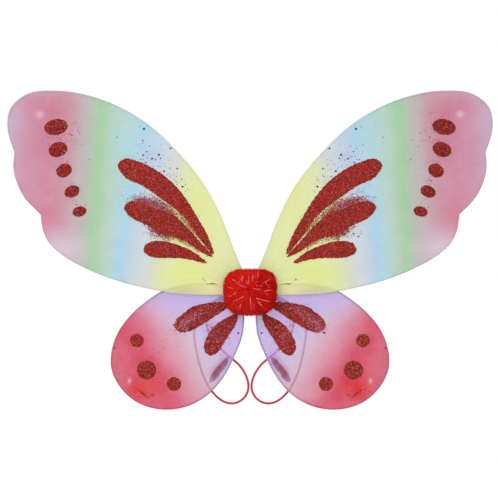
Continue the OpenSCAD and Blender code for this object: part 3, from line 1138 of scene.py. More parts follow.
@dataclass
class Studio:
    """Camera square to the painted side, soft lamps and a pale floor."""

    centre: tuple[float, float] = (0.0, 0.0425)
    view_width: float = 0.5
    distance: float = 2.0
    floor_z: float = -0.27
    floor_radius: float = 5.0
    sky: float = 0.9
    key_watts: float = 8.0
    fill_watts: float = 2.0

    def camera(self) -> None:
        """Adds the camera and makes it the scene's."""
        data = bpy.data.cameras.new("Camera")
        data.type, data.ortho_scale, data.clip_end = "ORTHO", self.view_width, 20.0
        camera = bpy.data.objects.new("Camera", data)
        bpy.context.scene.collection.objects.link(camera)
        camera.location = (self.centre[0], -self.distance, self.centre[1])
        camera.rotation_euler = (math.pi / 2, 0, 0)
        bpy.context.scene.camera = camera
        bpy.context.scene.view_settings.view_transform = "Standard"

    def lamp(self, name: str, place: tuple[float, float, float], size: float,
             watts: float) -> None:
        """Adds a soft square lamp that points at the wings.

        Args:
            name: the lamp's name.
            place: where it stands.
            size: length of its side.
            watts: its power.
        """
        data = bpy.data.lights.new(name, "AREA")
        data.energy, data.size = watts, size
        lamp = bpy.data.objects.new(name, data)
        bpy.context.scene.collection.objects.link(lamp)
        lamp.location = place
        toward = Vector((0, 0, 0.04)) - lamp.location
        lamp.rotation_euler = toward.to_track_quat("-Z", "Y").to_euler()

    def light(self) -> None:
        """Adds the lamps and the white surroundings, brighter where the camera sees them."""
        self.lamp("Key lamp", (-0.85, -1.15, 0.95), 0.7, self.key_watts)
        self.lamp("Fill lamp", (1.1, -1.2, 0.2), 1.2, self.fill_watts)
        world = bpy.data.worlds.new("White surroundings")
        bpy.context.scene.world = world
        world.use_nodes = True
        g = Graph(world.node_tree)
        world.node_tree.nodes.clear()
        seen = g.add("ShaderNodeLightPath").outputs["Is Camera Ray"]
        strength = g.math("MULTIPLY_ADD", seen, 1.0 - self.sky, self.sky)
        sky = g.add("ShaderNodeBackground", {"Color": (1, 1, 1, 1), "Strength": strength})
        g.add("ShaderNodeOutputWorld", {0: sky.outputs[0]})

    def floor(self, effects: Effects) -> None:
        """Adds the floor, a disc of rings and spokes.

        Args:
            effects: the shared shader groups.
        """
        radius, angle = np.meshgrid(np.linspace(0.01, self.floor_radius, 12),
                                    np.arange(64) * TURN / 64, indexing="ij")
        points = np.stack([radius * np.cos(angle), radius * np.sin(angle),
                           np.full(radius.shape, self.floor_z)], -1).reshape(-1, 3)
        hub = np.arange(64)[None]
        mesh = bpy.data.meshes.new("Floor")
        mesh.from_pydata(points, [], grid_faces(12, 64, wrap=True)[:, ::-1].tolist()
                         + hub.tolist())
        mesh.materials.append(PaleFloor().material(effects))
        floor = bpy.data.objects.new("Floor", mesh)
        bpy.context.scene.collection.objects.link(floor)


# ------------------------------------------------------------------ arm loops


@dataclass
class ElasticLoop:
    """One arm loop of round braided elastic with its knot behind the felt."""

    side: Side
    radius: float = 0.0011
    knot_middle: tuple[float, float, float] = (-0.0161, -0.004, -0.004)
    knot_spread: float = 0.00047
    knot_length: float = 0.0012
    route_mm: tuple[tuple[float, float, float], ...] = (
        (-18.6, -4, -2.75), (-20.4, -4, -2.75), (-26, -4, -4), (-34, -4, -8), (-46, -4, -17),
        (-53, -4, -27), (-55.8, -4, -38), (-54.3, -4, -54), (-51.5, -4.2, -68),
        (-47.5, -4.4, -81), (-42.5, -4.6, -92), (-37.5, -4.8, -99.5), (-31, -5, -106),
        (-24.4, -5, -109.8), (-18, -5, -110.9), (-11.6, -5, -109.4), (-5.8, -4.8, -105.1),
        (-2.2, -4.6, -98.5), (-1.6, -4.4, -92), (-3.2, -4.2, -85.3), (-6.1, -4, -79.1),
        (-11, -4, -72.4), (-17.4, -4, -66.6), (-26, -4, -59.5), (-36, -4, -49.5),
        (-42, -4, -39), (-43.2, -4, -28), (-39, -4, -17.5), (-31, -4, -9.5),
        (-25, -4, -6.2), (-20.4, -4, -5.25), (-18.6, -4, -5.25))

    def path(self) -> Array:
        """The elastic's middle line on this side."""
        line = smooth_path(np.array(self.route_mm) * MM, 1.4 * MM)
        return line if self.side is Side.LEFT else line * (-1, 1, 1)

    def make_loop(self, finish: bpy.types.Material) -> bpy.types.Object:
        """Args:
            finish: the piece's material.

        Returns:
            The loop.
        """
        path = self.path()
        shape = tubes(path, self.radius, sides=14)
        piece = build(f"elastic_loop_{self.side.value}", shape, finish,
                      f"{self.side.value}_strap", [self.side.node("strap")])
        return piece

    def make_knot(self, finish: bpy.types.Material) -> bpy.types.Object:
        """Makes the knot: a tight trefoil, the two strands that enter it and its two tails.

        The trefoil is (sin 3t, cos t - 2 cos 2t, sin t + 2 sin 2t), scaled to the knot.

        Args:
            finish: the piece's material.

        Returns:
            The knot.
        """
        t = np.arange(90) * TURN / 90
        middle = np.array(self.knot_middle)
        trefoil = middle + np.stack([self.knot_length * np.sin(3 * t),
                                     self.knot_spread * (np.cos(t) - 2 * np.cos(2 * t)),
                                     self.knot_spread * (np.sin(t) + 2 * np.sin(2 * t))], -1)
        bends = [tubes(trefoil, self.radius * 0.96, 12, ref=(1, 0, 0), closed=True)]
        for z, lean in ((-2.75, 0.5), (-5.25, -0.5)):
            strand = np.array([(-18.62, -4, z), (-17.6, -4, z), (-16.1, -4, z * 0.5 - 2)]) * MM
            tail = np.array([(-15.6, -4, -4 + lean), (-13.6, -4.2, -4 + 1.6 * lean),
                             (-11.9, -4.6, -4 + 2.9 * lean)]) * MM
            bends += [tubes(smooth_path(strand, 0.4 * MM), self.radius * 0.99, 12),
                      tubes(smooth_path(tail, 0.3 * MM), self.radius * 0.9, 12)]
        return build(f"elastic_knot_{self.side.value}", join(bends).on(self.side), finish,
                     "centre", [self.side.node("strap_knot")])


# ------------------------------------------------------------------ wings


@dataclass
class WingSkin:
    """Small creases of the cloth, as the height of each layer at a flat point.

    Both layers share creases that fan out from the root and die away with distance, and
    broad waves. Each layer adds finer ones of its own.

    Args:
        seed: start of the random draws.
        gap: half the distance of the layers away from the wire.
        fan: height of the creases at the root.
        reach: distance in which they die away.
    """

    seed: int
    gap: float = 0.00035
    fan: float = 0.00055
    reach: float = 0.075

    def shared(self, x: Array, z: Array) -> Array:
        """Height that both layers have in common.

        Args:
            x: flat place.
            z: flat place.

        Returns:
            The height.
        """
        far, angle = np.hypot(x, z), np.arctan2(z, -x)
        creases = waves(angle * 1.1 + 0.6 * far, self.seed, 7, 1.6)
        broad = waves(x * 11 + z * 6, self.seed + 1, 3) * waves(z * 13 - x * 4, self.seed + 2, 3)
        return (self.fan * np.exp(-far / self.reach) * creases
                + 0.00012 * waves(angle * 2.3, self.seed + 3, 4, 2.0)
                + 0.00028 * broad)

    def own(self, x: Array, z: Array, face: Face) -> Array:
        """Height that one layer adds, kept under the half gap.

        Args:
            x: flat place.
            z: flat place.
            face: the layer.

        Returns:
            The height.
        """
        seed = self.seed + 7 + face.value
        fine = waves(x * 37 + z * 21, seed, 3) * waves(z * 33 - x * 17, seed + 5, 3)
        return 0.00012 * fine


@dataclass
class Wing:
    """One wing: a wire loop in a stretched sheer envelope.

    Args:
        stem: "upper" or "lower".
        side: which side it is on.
        legs: heights at which the two legs of the wire meet the twisted ends.
        rows: rings of the envelope from its throat to its tip.
        columns: steps across one layer.
        seed: start of the random draws.
    """

    stem: str
    side: Side
    legs: tuple[float, float]
    rows: int
    columns: int
    seed: int
    wire_radius: float = 0.0008
    rim_radius: float = 0.00095    # of the wire in its cloth
    fold_x: float = 0.005
    stand_reach: float = 0.005     # distance in which the cloth comes down from the wire
    taut_edge: float = 0.006       # distance from the rim at which creases begin
    rim: Array = field(init=False)
    plane: float = field(init=False)
    skin: WingSkin = field(init=False)

    def __post_init__(self) -> None:
        """Reads the rim, from the upper side of the throat to the lower, from the CAD."""
        low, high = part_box(f"fabric_{self.stem}_left")
        self.plane = (low.y + high.y) / 2
        ring = part_outlines(f"fabric_{self.stem}_left")[0]
        throat = np.sort(np.linalg.norm(ring, axis=1).argsort()[:2])
        ring = np.roll(ring, 0 if throat[1] - throat[0] > 1 else -int(throat[1]), axis=0)
        ring = ring if ring[0, 1] > ring[-1, 1] else ring[::-1]
        self.rim = smooth_path(ring, 1.2 * MM, corner=26.0)
        self.skin = WingSkin(self.seed)

    @property
    def body(self) -> str:
        """The CAD body that it rides on."""
        return f"{self.side.value}_wings"

    def cloth(self, flat: Array, face: Face) -> Array:
        """Y of a layer at flat points: its skin, which stands off to the wire near the rim.

        Args:
            flat: (n, 2) places.
            face: the layer.

        Returns:
            A y for each place.
        """
        away = edge_distance(flat, self.rim)
        stand = (self.rim_radius - self.skin.gap) * np.exp(-away / self.stand_reach)
        fade = 1 - np.exp(-(away / self.taut_edge) ** 2)
        x, z = flat[:, 0], flat[:, 1]
        crease = fade * (self.skin.shared(x, z) + self.skin.own(x, z, face))
        return self.plane + face.value * (self.skin.gap + stand) + crease

    def make_wire(self, finish: bpy.types.Material) -> bpy.types.Object:
        """Makes the wire: a round profile along the rim, from one leg to the other.

        Args:
            finish: the piece's material.

        Returns:
            The wire.
        """
        start, end = ([[-self.fold_x, z]] for z in self.legs)
        flat = np.vstack([start, self.rim[1:-1:2], end])
        path = np.insert(flat, 1, self.plane, axis=1)
        shape = tubes(path, self.wire_radius, 12)
        return build(f"rim_wire_{self.stem}_{self.side.value}", shape.on(self.side), finish,
                     self.body, [self.side.node(f"wire_{self.stem}")])

    def envelope(self) -> Shape:
        """Closed envelope between two rails, which are the rim up to the tip and back.

        Ring i runs over the front layer from rail a to rail b, half round the wire, back
        over the rear layer and half round the other wire. A layer stands off the middle by
        gap + (rim radius - gap) * exp(-distance from the rim / 5 mm), plus the creases. The
        first ring lies flat, which gathers the throat, and the last is the tip.

        Returns:
            The envelope, on the left.
        """
        tip = int(np.linalg.norm(self.rim, axis=1).argmax())
        turn = unit(np.diff(self.rim, axis=0))
        kinks = np.nonzero((turn[1:] * turn[:-1]).sum(1) < math.cos(math.radians(14)))[0] + 1
        back = self.rim[tip:][::-1]
        a = evenly(self.rim[: tip + 1], self.rows, [k for k in kinks if k < tip])
        b = evenly(back, self.rows, [len(self.rim) - 1 - k for k in kinks if k > tip])
        normals = outward_normals(np.vstack([a, b[-2::-1]]))
        na, nb = normals[: self.rows], normals[self.rows - 1:][::-1]
        j = np.linspace(0, 1, self.columns + 1)
        u = 0.55 * (0.5 - 0.5 * np.cos(math.pi * j)) + 0.45 * j
        flat = a[:, None] + (b - a)[:, None] * u[None, :, None]
        wide = np.linalg.norm(b - a, axis=1)[:, None]
        from_a, from_b = wide * u, wide * (1 - u)
        near = np.minimum(from_a, from_b)
        stand = np.exp(-from_a / self.stand_reach) + np.exp(-from_b / self.stand_reach)
        stand = self.skin.gap + (self.rim_radius - self.skin.gap) * np.minimum(stand, 1)
        fade = 1 - np.exp(-(near / self.taut_edge) ** 2)
        run = np.where(from_a < from_b, lengths_along(a)[:, None], 2 - lengths_along(b)[:, None])
        tuck = (0.00016 * waves(run * 60, self.seed + 20, 4) * np.exp(-near / self.taut_edge)
                * (1 - np.exp(-near / 0.0015)))
        x, z = flat[..., 0], flat[..., 1]
        layers = []
        for face in Face:
            crease = fade * (self.skin.shared(x, z) + self.skin.own(x, z, face)) + tuck
            layers.append(np.stack([x, self.plane + face.value * stand + crease, z], -1))
        theta = np.radians(np.linspace(-90, 90, 9)[1:-1])
        arcs = []
        for rail, normal, order in ((b, nb, theta), (a, na, theta[::-1])):
            out = rail[:, None] + self.rim_radius * normal[:, None] * np.cos(order)[:, None]
            level = np.broadcast_to(self.plane + self.rim_radius * np.sin(order),
                                    out.shape[:2])
            arcs.append(np.stack([out[..., 0], level, out[..., 1]], -1))
        rings = np.concatenate([layers[0], arcs[0], layers[1][:, ::-1], arcs[1]], 1)
        rings[0, :, 1] = self.plane
        return Shape(rings.reshape(-1, 3), [grid_faces(*rings.shape[:2], wrap=True)])

    def make_cloth(self, finish: bpy.types.Material) -> bpy.types.Object:
        """Args:
            finish: the piece's material.

        Returns:
            The envelope.
        """
        piece = build(f"sheer_{self.stem}_{self.side.value}", self.envelope().on(self.side),
                      finish, self.body,
                      [self.side.node(f"fabric_{self.stem}")], weld=2e-6, sharp=60.0)
        return piece


# ------------------------------------------------------------------ glitter paint


@dataclass(frozen=True)
class Mist:
    """A cloud of stray flakes, as lengths in millimetres on the left wing.

    Args:
        x: middle.
        z: middle.
        wide: spread along the tilted axis.
        high: spread across it.
        tilt: turn of the axis in degrees.
        count: number of flakes.
        size: radius of a flake.
        odd: share of flakes of another tone.
        tone: mark of those, GOLD, MAUVE or INK.
        lift: height over the cloth, in metres.
    """

    x: float
    z: float
    wide: float
    high: float
    tilt: float
    count: int
    size: float = 0.42
    odd: float = 0.02
    tone: float = GOLD
    lift: float = 0.00004

    def scatter(self, rng: np.random.Generator) -> tuple[Array, Array, Array]:
        """Draws the flakes' flat places, sizes and tones.

        Args:
            rng: source of the draws.

        Returns:
            Places and sizes in metres, and marks.
        """
        spread = rng.normal(0, 1, (self.count, 2)) * (self.wide, self.high)
        turn = math.radians(self.tilt)
        x = self.x + spread[:, 0] * math.cos(turn) - spread[:, 1] * math.sin(turn)
        z = self.z + spread[:, 0] * math.sin(turn) + spread[:, 1] * math.cos(turn)
        size = self.size * rng.lognormal(0, 0.35, self.count)
        tone = np.where(rng.random(self.count) < self.odd, self.tone,
                        rng.uniform(0.0, 0.4, self.count))
        return np.stack([x, z], -1) * MM, size * MM, tone


def flakes(middles: Array, size: Array, tone: Array, face: Face,
           rng: np.random.Generator, tilt: float = 0.22) -> Shape:
    """Hexagonal flakes, each a flat six-sided cone that leans its own way.

    Args:
        middles: (n, 3) places.
        size: radius of each.
        tone: mark of each.
        face: the side that their points are on.
        rng: source of the leans.
        tilt: spread of the leans, as a slope.

    Returns:
        All flakes, with a flat base each.
    """
    n = len(middles)
    angle = np.arange(6) * TURN / 6 + rng.uniform(0, TURN, (n, 1))
    lean = rng.normal(0, tilt, (n, 2, 1))
    local = np.stack([np.cos(angle), np.sin(angle)], 1) * size[:, None, None]
    rise = (lean * local).sum(1)
    ring = np.stack([local[:, 0], face.value * rise, local[:, 1]], -1)
    apex = np.zeros((n, 1, 3))
    apex[:, 0, 1] = face.value * size * rng.uniform(0.2, 0.42, n)
    points = (np.concatenate([ring, apex], 1) + middles[:, None]).reshape(-1, 3)
    start = (np.arange(n) * 7)[:, None, None]
    rim = np.arange(6)
    sides = np.stack([rim, (rim + 1) % 6, np.full(6, 6)], -1)
    faces = [(sides + start).reshape(-1, 3), (rim[::-1][None] + start).reshape(-1, 6)]
    return Shape(points, faces, marks={"fleck": np.repeat(tone, 7)}).outward()


@dataclass(frozen=True)
class Drop:
    """A single stray drop of dark glue, in millimetres on the left wing."""

    x: float
    z: float
    size: float


@dataclass
class GlitterPaint:
    """Strokes or dots of glitter glue on one wing.

    Args:
        wing: the wing they are painted on.
        kind: "strokes" or "dots".
        rough_edge: how far the glue's edge wanders.
        mists: stray flakes around it.
        drops: single drops around it.
        worn: where the glue's edge is drawn in: (number from the top, x, z, reach, depth),
            in millimetres.
        pitch: spacing of the flakes.
        rise: height of the glue.
        gold: share of gold and green flakes.
        mauve: share of mauve flakes.
        top: highest mark of the red ones.
    """

    wing: Wing
    kind: str
    rough_edge: float = 0.0005
    mists: tuple[Mist, ...] = ()
    drops: tuple[Drop, ...] = ()
    worn: tuple[tuple[int, float, float, float, float], ...] = ()
    pitch: float = 0.00074
    rise: float = 0.00032
    slope: float = 0.0007          # width of the glue's rounded edge
    soak: float = 0.00008          # how far the glue sinks into the cloth
    bare_rim: float = 0.0016       # width along the rim that stray flakes keep off
    rail_points: int = 110
    rungs: int = 17
    gold: float = 0.035
    mauve: float = 0.01
    top: float = 0.9

    def ragged(self, ring: Array, number: int) -> Array:
        """Smooth outline whose edge wanders in and out along its normals.

        Args:
            ring: the stroke's outline.
            number: its number from the top.

        Returns:
            The glue's outline.
        """
        seed = self.wing.seed * 31 + number
        line = smooth_path(ring, 0.9 * MM, closed=True, corner=75.0)
        run = lengths_along(line)
        edge = 0.6 * waves(run * 130, seed, 6) + 0.4 * waves(run * 420, seed + 1, 5)
        offset = self.rough_edge * edge
        for which, x, z, reach, depth in self.worn:
            far = np.linalg.norm(line / MM - (x, z), axis=1)
            offset = offset - (which == number) * depth * MM * np.exp(-(far / reach) ** 2)
        return line + outward_normals(line) * offset[:, None]

    def level(self, flat: Array, ring: Array, face: Face) -> Array:
        """Y of the glue: rise * (1 - exp(-distance from its edge / slope)) on the cloth.

        Args:
            flat: (n, 2) places.
            ring: the glue's outline.
            face: the side it is on.

        Returns:
            A y for each place.
        """
        lumps = 1 + 0.22 * waves(flat[:, 0] * 300 + flat[:, 1] * 170, 5, 4)
        dome = self.rise * lumps * (1 - np.exp(-edge_distance(flat, ring) / self.slope))
        return self.wing.cloth(flat, face) + face.value * dome

    def puddle(self, ring: Array, face: Face) -> Shape:
        """The glue itself, a ruled grid between the outline's two rails with a flat back.

        Args:
            ring: the glue's outline.
            face: the side it is on.

        Returns:
            Its closed shell.
        """
        rows, columns = self.rail_points, self.rungs
        a, b = two_rails(ring, np.zeros(2), rows)
        u = np.linspace(0, 1, columns)
        flat = (a[:, None] + (b - a)[:, None] * u[:, None]).reshape(-1, 2)
        top = self.level(flat, ring, face)
        under = self.wing.cloth(flat, face) - face.value * self.soak
        points = np.vstack([np.stack([flat[:, 0], y, flat[:, 1]], -1) for y in (top, under)])
        quads = grid_faces(rows, columns)
        edge = np.concatenate([np.arange(columns), np.arange(1, rows) * columns + columns - 1,
                               (rows - 1) * columns + np.arange(columns - 2, -1, -1),
                               np.arange(rows - 2, 0, -1) * columns])
        wall = np.stack([edge, np.roll(edge, -1), np.roll(edge, -1) + len(flat),
                         edge + len(flat)], -1)
        return Shape(points, [quads[:, ::-1], quads + len(flat), wall],
                     marks={"fleck": np.full(len(points), 0.08)}).outward()

    def sprinkle(self, ring: Array, face: Face, rng: np.random.Generator) -> Shape:
        """Flakes all over the glue, on a six-sided lattice that is shaken up.

        Args:
            ring: the glue's outline.
            face: the side it is on.
            rng: source of the draws.

        Returns:
            The flakes.
        """
        low, high = ring.min(0), ring.max(0)
        rows = np.arange(low[1], high[1], self.pitch * 0.866)
        columns = np.arange(low[0] - self.pitch, high[0], self.pitch)
        x, z = np.meshgrid(columns, rows)
        x = x + (np.arange(len(rows)) % 2)[:, None] * self.pitch / 2
        flat = np.stack([x, z], -1).reshape(-1, 2)
        flat = flat + rng.normal(0, self.pitch * 0.22, flat.shape)
        flat = flat[enclosed(flat, ring)]
        flat = flat[rng.random(len(flat)) < 0.96]
        y = self.level(flat, ring, face) + face.value * rng.uniform(0, 0.00012, len(flat))
        tone = rng.beta(1.5, 1.7, len(flat))
        odd = rng.random(len(flat))
        tone = np.where(odd < self.gold, rng.uniform(0.9, 0.968, len(flat)),
                        np.where(odd > 1 - self.mauve, MAUVE, tone * self.top))
        size = self.pitch * 0.62 * rng.lognormal(0, 0.16, len(flat))
        return flakes(np.stack([flat[:, 0], y, flat[:, 1]], -1), size, tone, face, rng)

    def make(self, finish: bpy.types.Material) -> bpy.types.Object:
        """Makes all glue, flakes and stray flakes of this kind on the wing.

        Args:
            finish: the piece's material.

        Returns:
            The painted piece.
        """
        wing, stem = self.wing, f"glitter_{self.kind}_{self.wing.stem}"
        rng = np.random.default_rng(wing.seed * 17 + len(self.kind))
        shapes = []
        _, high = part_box(f"{stem}_left")
        faces = [Face.FRONT] + ([Face.REAR] if high.y > wing.plane else [])
        for face in faces:
            rings = sorted(part_outlines(f"{stem}_left", face), key=lambda r: -r[:, 1].mean())
            for number, ring in enumerate(rings):
                line = self.ragged(ring, number)
                shapes.append(self.puddle(line, face))
                shapes.append(self.sprinkle(line, face, rng))
        for mist in self.mists:
            flat, size, tone = mist.scatter(rng)
            on_cloth = enclosed(flat, wing.rim) & (edge_distance(flat, wing.rim) > self.bare_rim)
            flat, size, tone = flat[on_cloth], size[on_cloth], tone[on_cloth]
            y = wing.cloth(flat, Face.FRONT) - mist.lift
            shapes.append(flakes(np.stack([flat[:, 0], y, flat[:, 1]], -1), size, tone,
                                 Face.FRONT, rng))
        if self.drops:
            spot = np.array([(d.x, d.z, d.size) for d in self.drops]) * MM
            y = wing.cloth(spot[:, :2], Face.FRONT) - 0.00012
            shapes.append(flakes(np.stack([spot[:, 0], y, spot[:, 1]], -1), spot[:, 2],
                                 np.full(len(spot), INK), Face.FRONT, rng, 0.02))
        return build(f"paint_{self.kind}_{wing.stem}_{wing.side.value}",
                     join(shapes).on(wing.side), finish, wing.body,
                     [wing.side.node(stem)], sharp=4.0)


# ------------------------------------------------------------------ pom-pom


@dataclass
class PomPom:
    """Flattened plush pom-pom in two halves, combed outward, with strips of tinsel.

    Its surface is middle + (outline(turn) - middle) * sin(fall)^0.8 in the flat, and
    cos(fall)^0.7 of its depth forward, where fall goes from 0 in the middle of the front to
    a quarter turn at the rim.
    """

    seed: int = 11
    middle: tuple[float, float] = (-0.002, 0.004)
    depth: float = 0.0
    back: float = 0.0
    strands: int = 5200
    scattered: int = 22
    inset: float = 0.0021          # of the body under the fibres
    lift_start: float = -0.0014    # depth of a fibre's root
    sweep: tuple[float, float] = (0.28, 0.55)
    fibre_radius: tuple[float, float] = (0.0002, 0.00034)
    foil_half_width: tuple[float, float] = (0.0003, 0.00014)
    folded_share: float = 0.13     # of its width, when the wings are folded
    outline_mm: tuple[tuple[float, float], ...] = (
        (25.9, 0), (25.7, 9), (24.2, 15.6), (20.2, 19.8), (13.6, 22), (0, 22.3), (-13, 21.8),
        (-19.8, 18.8), (-24, 13.6), (-25.5, 6), (-25.5, -2), (-24.9, -9.6), (-21.4, -15.6),
        (-16, -19.8), (-8, -21.8), (0, -22.2), (8, -21.8), (16.6, -19.7), (21.8, -15.4),
        (25.3, -9))
    tinsel_mm: tuple[tuple[float, float, float, float], ...] = (
        (-8, 19.5, -7, 13.5), (9, 21.5, 7.3, 12.5), (12.5, 9, 22, 15.5), (-20.5, 15.8, -14, 11),
        (-21.5, -4.3, -12.5, 1), (6, -5.7, 27, -10.6), (0, -4.4, 1.2, -18.5),
        (3, -13.5, 5, -18.5), (-14, -8, -6.5, -3.5), (-3.5, 4.5, -11.5, 8.2),
        (3, 4.5, 10.5, 3.4), (-2, 8.5, -1.2, 17), (14, 1.2, 21.5, 2.6), (-9, -12, -12.5, -17),
        (8.5, -9.5, 13.5, -15.2), (-17, 4.2, -24, 6), (2.6, 12, 3.4, 18.8), (16, 9, 19.5, 5.2))

    def __post_init__(self) -> None:
        """Takes the depth from the CAD halves."""
        low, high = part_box("pompom_fluff_left")
        self.back, self.depth = high.y, high.y - low.y

    def rim(self, turn: Array) -> Array:
        """Distance of the outline from the middle in that direction.

        Args:
            turn: angles from +X towards +Z.

        Returns:
            A distance for each angle.
        """
        ring = smooth_path(np.array(self.outline_mm) * MM, 0.0012, closed=True) - self.middle
        angle, far = np.arctan2(ring[:, 1], ring[:, 0]), np.linalg.norm(ring, axis=1)
        order = np.argsort(angle)
        return np.interp(turn, angle[order], far[order], period=TURN)

    def surface(self, turn: Array, fall: Array, lift: Array | float = 0.0) -> Array:
        """Point of the surface, moved out along a direction between forward and outward.

        Args:
            turn: angles from +X towards +Z.
            fall: angles from the front's middle to the rim.
            lift: distance off the surface.

        Returns:
            The points.
        """
        sine, cosine = np.sin(fall), np.maximum(np.cos(fall), 0)
        far = self.rim(turn) * np.abs(sine) ** 0.8 + lift * sine
        forward = self.depth * cosine ** 0.7 + lift * cosine
        return np.stack([self.middle[0] + far * np.cos(turn), self.back - forward,
                         self.middle[1] + far * np.sin(turn)], -1)

    def front(self, x: Array, z: Array) -> Array:
        """Y of the surface at a flat point.

        Args:
            x: flat place.
            z: flat place.

        Returns:
            The y.
        """
        dx, dz = x - self.middle[0], z - self.middle[1]
        share = np.minimum(np.hypot(dx, dz) / self.rim(np.arctan2(dz, dx)), 0.999) ** 1.25
        return self.back - self.depth * np.sqrt(1 - share**2) ** 0.7

    def underfur(self, side: Side) -> Shape:
        """Closed lumpy body under the fibres: half of the surface, set in.

        The strip that joins its last column to its first is the flat cut between the halves.

        Args:
            side: which half.

        Returns:
            Its closed shell.
        """
        middle_turn = 0.0 if side is Side.RIGHT else math.pi
        turn = middle_turn + np.linspace(-math.pi / 2, math.pi / 2, 61)[None]
        fall = np.linspace(0.02, math.pi / 2, 30)[:, None] + 0 * turn
        turn = turn + 0 * fall
        lumps = 0.0005 * waves(turn * 3 + fall, self.seed, 5, 2.0)
        rings = self.surface(turn, fall, lumps - self.inset)
        rings[..., 1] = np.minimum(rings[..., 1], self.back)
        rows, columns = rings.shape[:2]
        ends = np.stack([np.arange(columns)[::-1], (rows - 1) * columns + np.arange(columns)])
        # a low mark paints the body under the fibres darker, as shade under them
        return Shape(rings.reshape(-1, 3), [grid_faces(rows, columns, wrap=True), ends],
                     marks={"tint": np.full(rows * columns, 0.3)}).outward()

    def fibres(self, side: Side) -> Shape:
        """Combed fibres: each runs outward over the surface, lifts off and bends a little.

        A fibre is a three-sided tube of five rings that narrows to its tip. Along s from 0
        to 1 its fall grows by its length and its turn drifts by a wave.

        Args:
            side: which half.

        Returns:
            The fibres, with their tints and painted shade as marks.
        """
        rng = np.random.default_rng(self.seed + side.sign)
        n, s = self.strands, np.linspace(0, 1, 5)
        turn = rng.uniform(-math.pi / 2, math.pi / 2, n) + (0 if side is Side.RIGHT else math.pi)
        fall = np.concatenate([np.sqrt(rng.uniform(0, 1, n * 2 // 3)) * 1.25 - 0.12,
                               rng.uniform(0.95, 1.5, n - n * 2 // 3)])
        length = rng.uniform(*self.sweep, n) * np.where(fall < 0.35, 0.8, 1.0)
        stand = rng.gamma(2.0, 0.00042, n) * (1 - 0.6 * ease(fall, 1.05, 1.45))
        drift = rng.normal(0, 0.1, n) / np.maximum(np.sin(fall + 0.25), 0.2) * 0.5
        bend = rng.normal(0, 0.06, n)
        turns = turn[:, None] + drift[:, None] * s + bend[:, None] * np.sin(math.pi * s)
        falls = np.minimum(fall[:, None] + length[:, None] * s, 1.68)
        lift = self.lift_start + (0.0012 + stand[:, None]) * s ** 0.7
        paths = self.surface(turns, falls, lift)
        paths[..., 1] = np.minimum(paths[..., 1], self.back - 0.0002)
        width = rng.uniform(*self.fibre_radius, n)[:, None] * (1 - 0.75 * s**2)
        shape = tubes(paths, width, sides=3, turn=rng.uniform(0, TURN, (n, 1)))
        # painted shade in the mark: a fibre is darker on the right-hand half and near the rim
        # and lighter in the front's middle; the normal draw and the wave over its turn are
        # random tone
        shade = np.clip(rng.normal(0.62, 0.17, n) - 0.2 * ease(paths[:, -1, 0], 0.002, 0.012)
                        + 0.14 * waves(turn * 1.3, self.seed + 3, 4)
                        + 0.14 * np.exp(-(falls[:, -1] / 0.9) ** 2)
                        - 0.2 * ease(falls[:, -1], 1.25, 1.6), 0.08, 1)
        # painted shade: each fibre is darker at its root than at its tip
        tint = np.clip(shade[:, None] * (0.72 + 0.4 * s), 0, 1)
        shape.marks["tint"] = np.repeat(tint.reshape(-1), 3)
        shape.uv = []
        return shape

    def tinsel(self, side: Side) -> Shape:
        """Flat foil strips on the surface: the placed ones and scattered short ones.

        Args:
            side: which half.

        Returns:
            The strips.
        """
        rng = np.random.default_rng(self.seed + 5)
        placed = np.array(self.tinsel_mm) * MM
        few = self.scattered
        turn, far = rng.uniform(0, TURN, few), rng.uniform(0.25, 0.75, few)
        reach = self.rim(turn)
        heading = turn + rng.normal(0, 0.25, few)
        start = np.stack([np.cos(turn), np.sin(turn)], -1) * (reach * far)[:, None]
        length = rng.uniform(0.002, 0.0045, few)[:, None]
        stop = start + np.stack([np.cos(heading), np.sin(heading)], -1) * length
        scattered = np.hstack([start + self.middle, stop + self.middle])
        ends = np.vstack([placed, scattered])
        wide = np.repeat(self.foil_half_width, (len(placed), few))
        mine = (ends[:, 0] + ends[:, 2] > 0) == (side is Side.RIGHT)
        ends, wide = ends[mine], wide[mine]
        s = np.linspace(0, 1, 9)
        x = ends[:, :1] + (ends[:, 2:3] - ends[:, :1]) * s
        z = ends[:, 1:2] + (ends[:, 3:4] - ends[:, 1:2]) * s
        bow = np.sin(math.pi * s) * rng.normal(0, 0.00025, (len(ends), 1))
        x, z = x + bow, z - bow
        y = self.front(x, z) - 0.0007 - 0.0006 * np.sin(math.pi * s) * rng.random((len(ends), 1))
        roll = rng.normal(0, 0.5, (len(ends), 1)) + 0.5 * s
        taper = wide[:, None] * (1 - 0.45 * s)
        shape = tubes(np.stack([x, y, z], -1), taper, sides=4, profile=(1.0, 0.12), turn=roll)
        shape.uv = []
        return shape

    def make(self, side: Side, fibre: bpy.types.Material,
             foil: bpy.types.Material) -> list[bpy.types.Object]:
        """Makes one half and its tinsel.

        Args:
            side: which half.
            fibre: material of the plush.
            foil: material of the strips.

        Returns:
            The two pieces.
        """
        plush = build(f"pompom_plush_{side.value}", join([self.underfur(side),
                                                          self.fibres(side)]),
                      fibre, "centre", [side.node("pompom_fluff")], sharp=180.0)
        strips = build(f"pompom_tinsel_{side.value}", self.tinsel(side), foil,
                       "centre", sharp=20.0)
        for piece in (plush, strips):
            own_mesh(piece)
        return [plush, strips]


# ------------------------------------------------------------------ centre


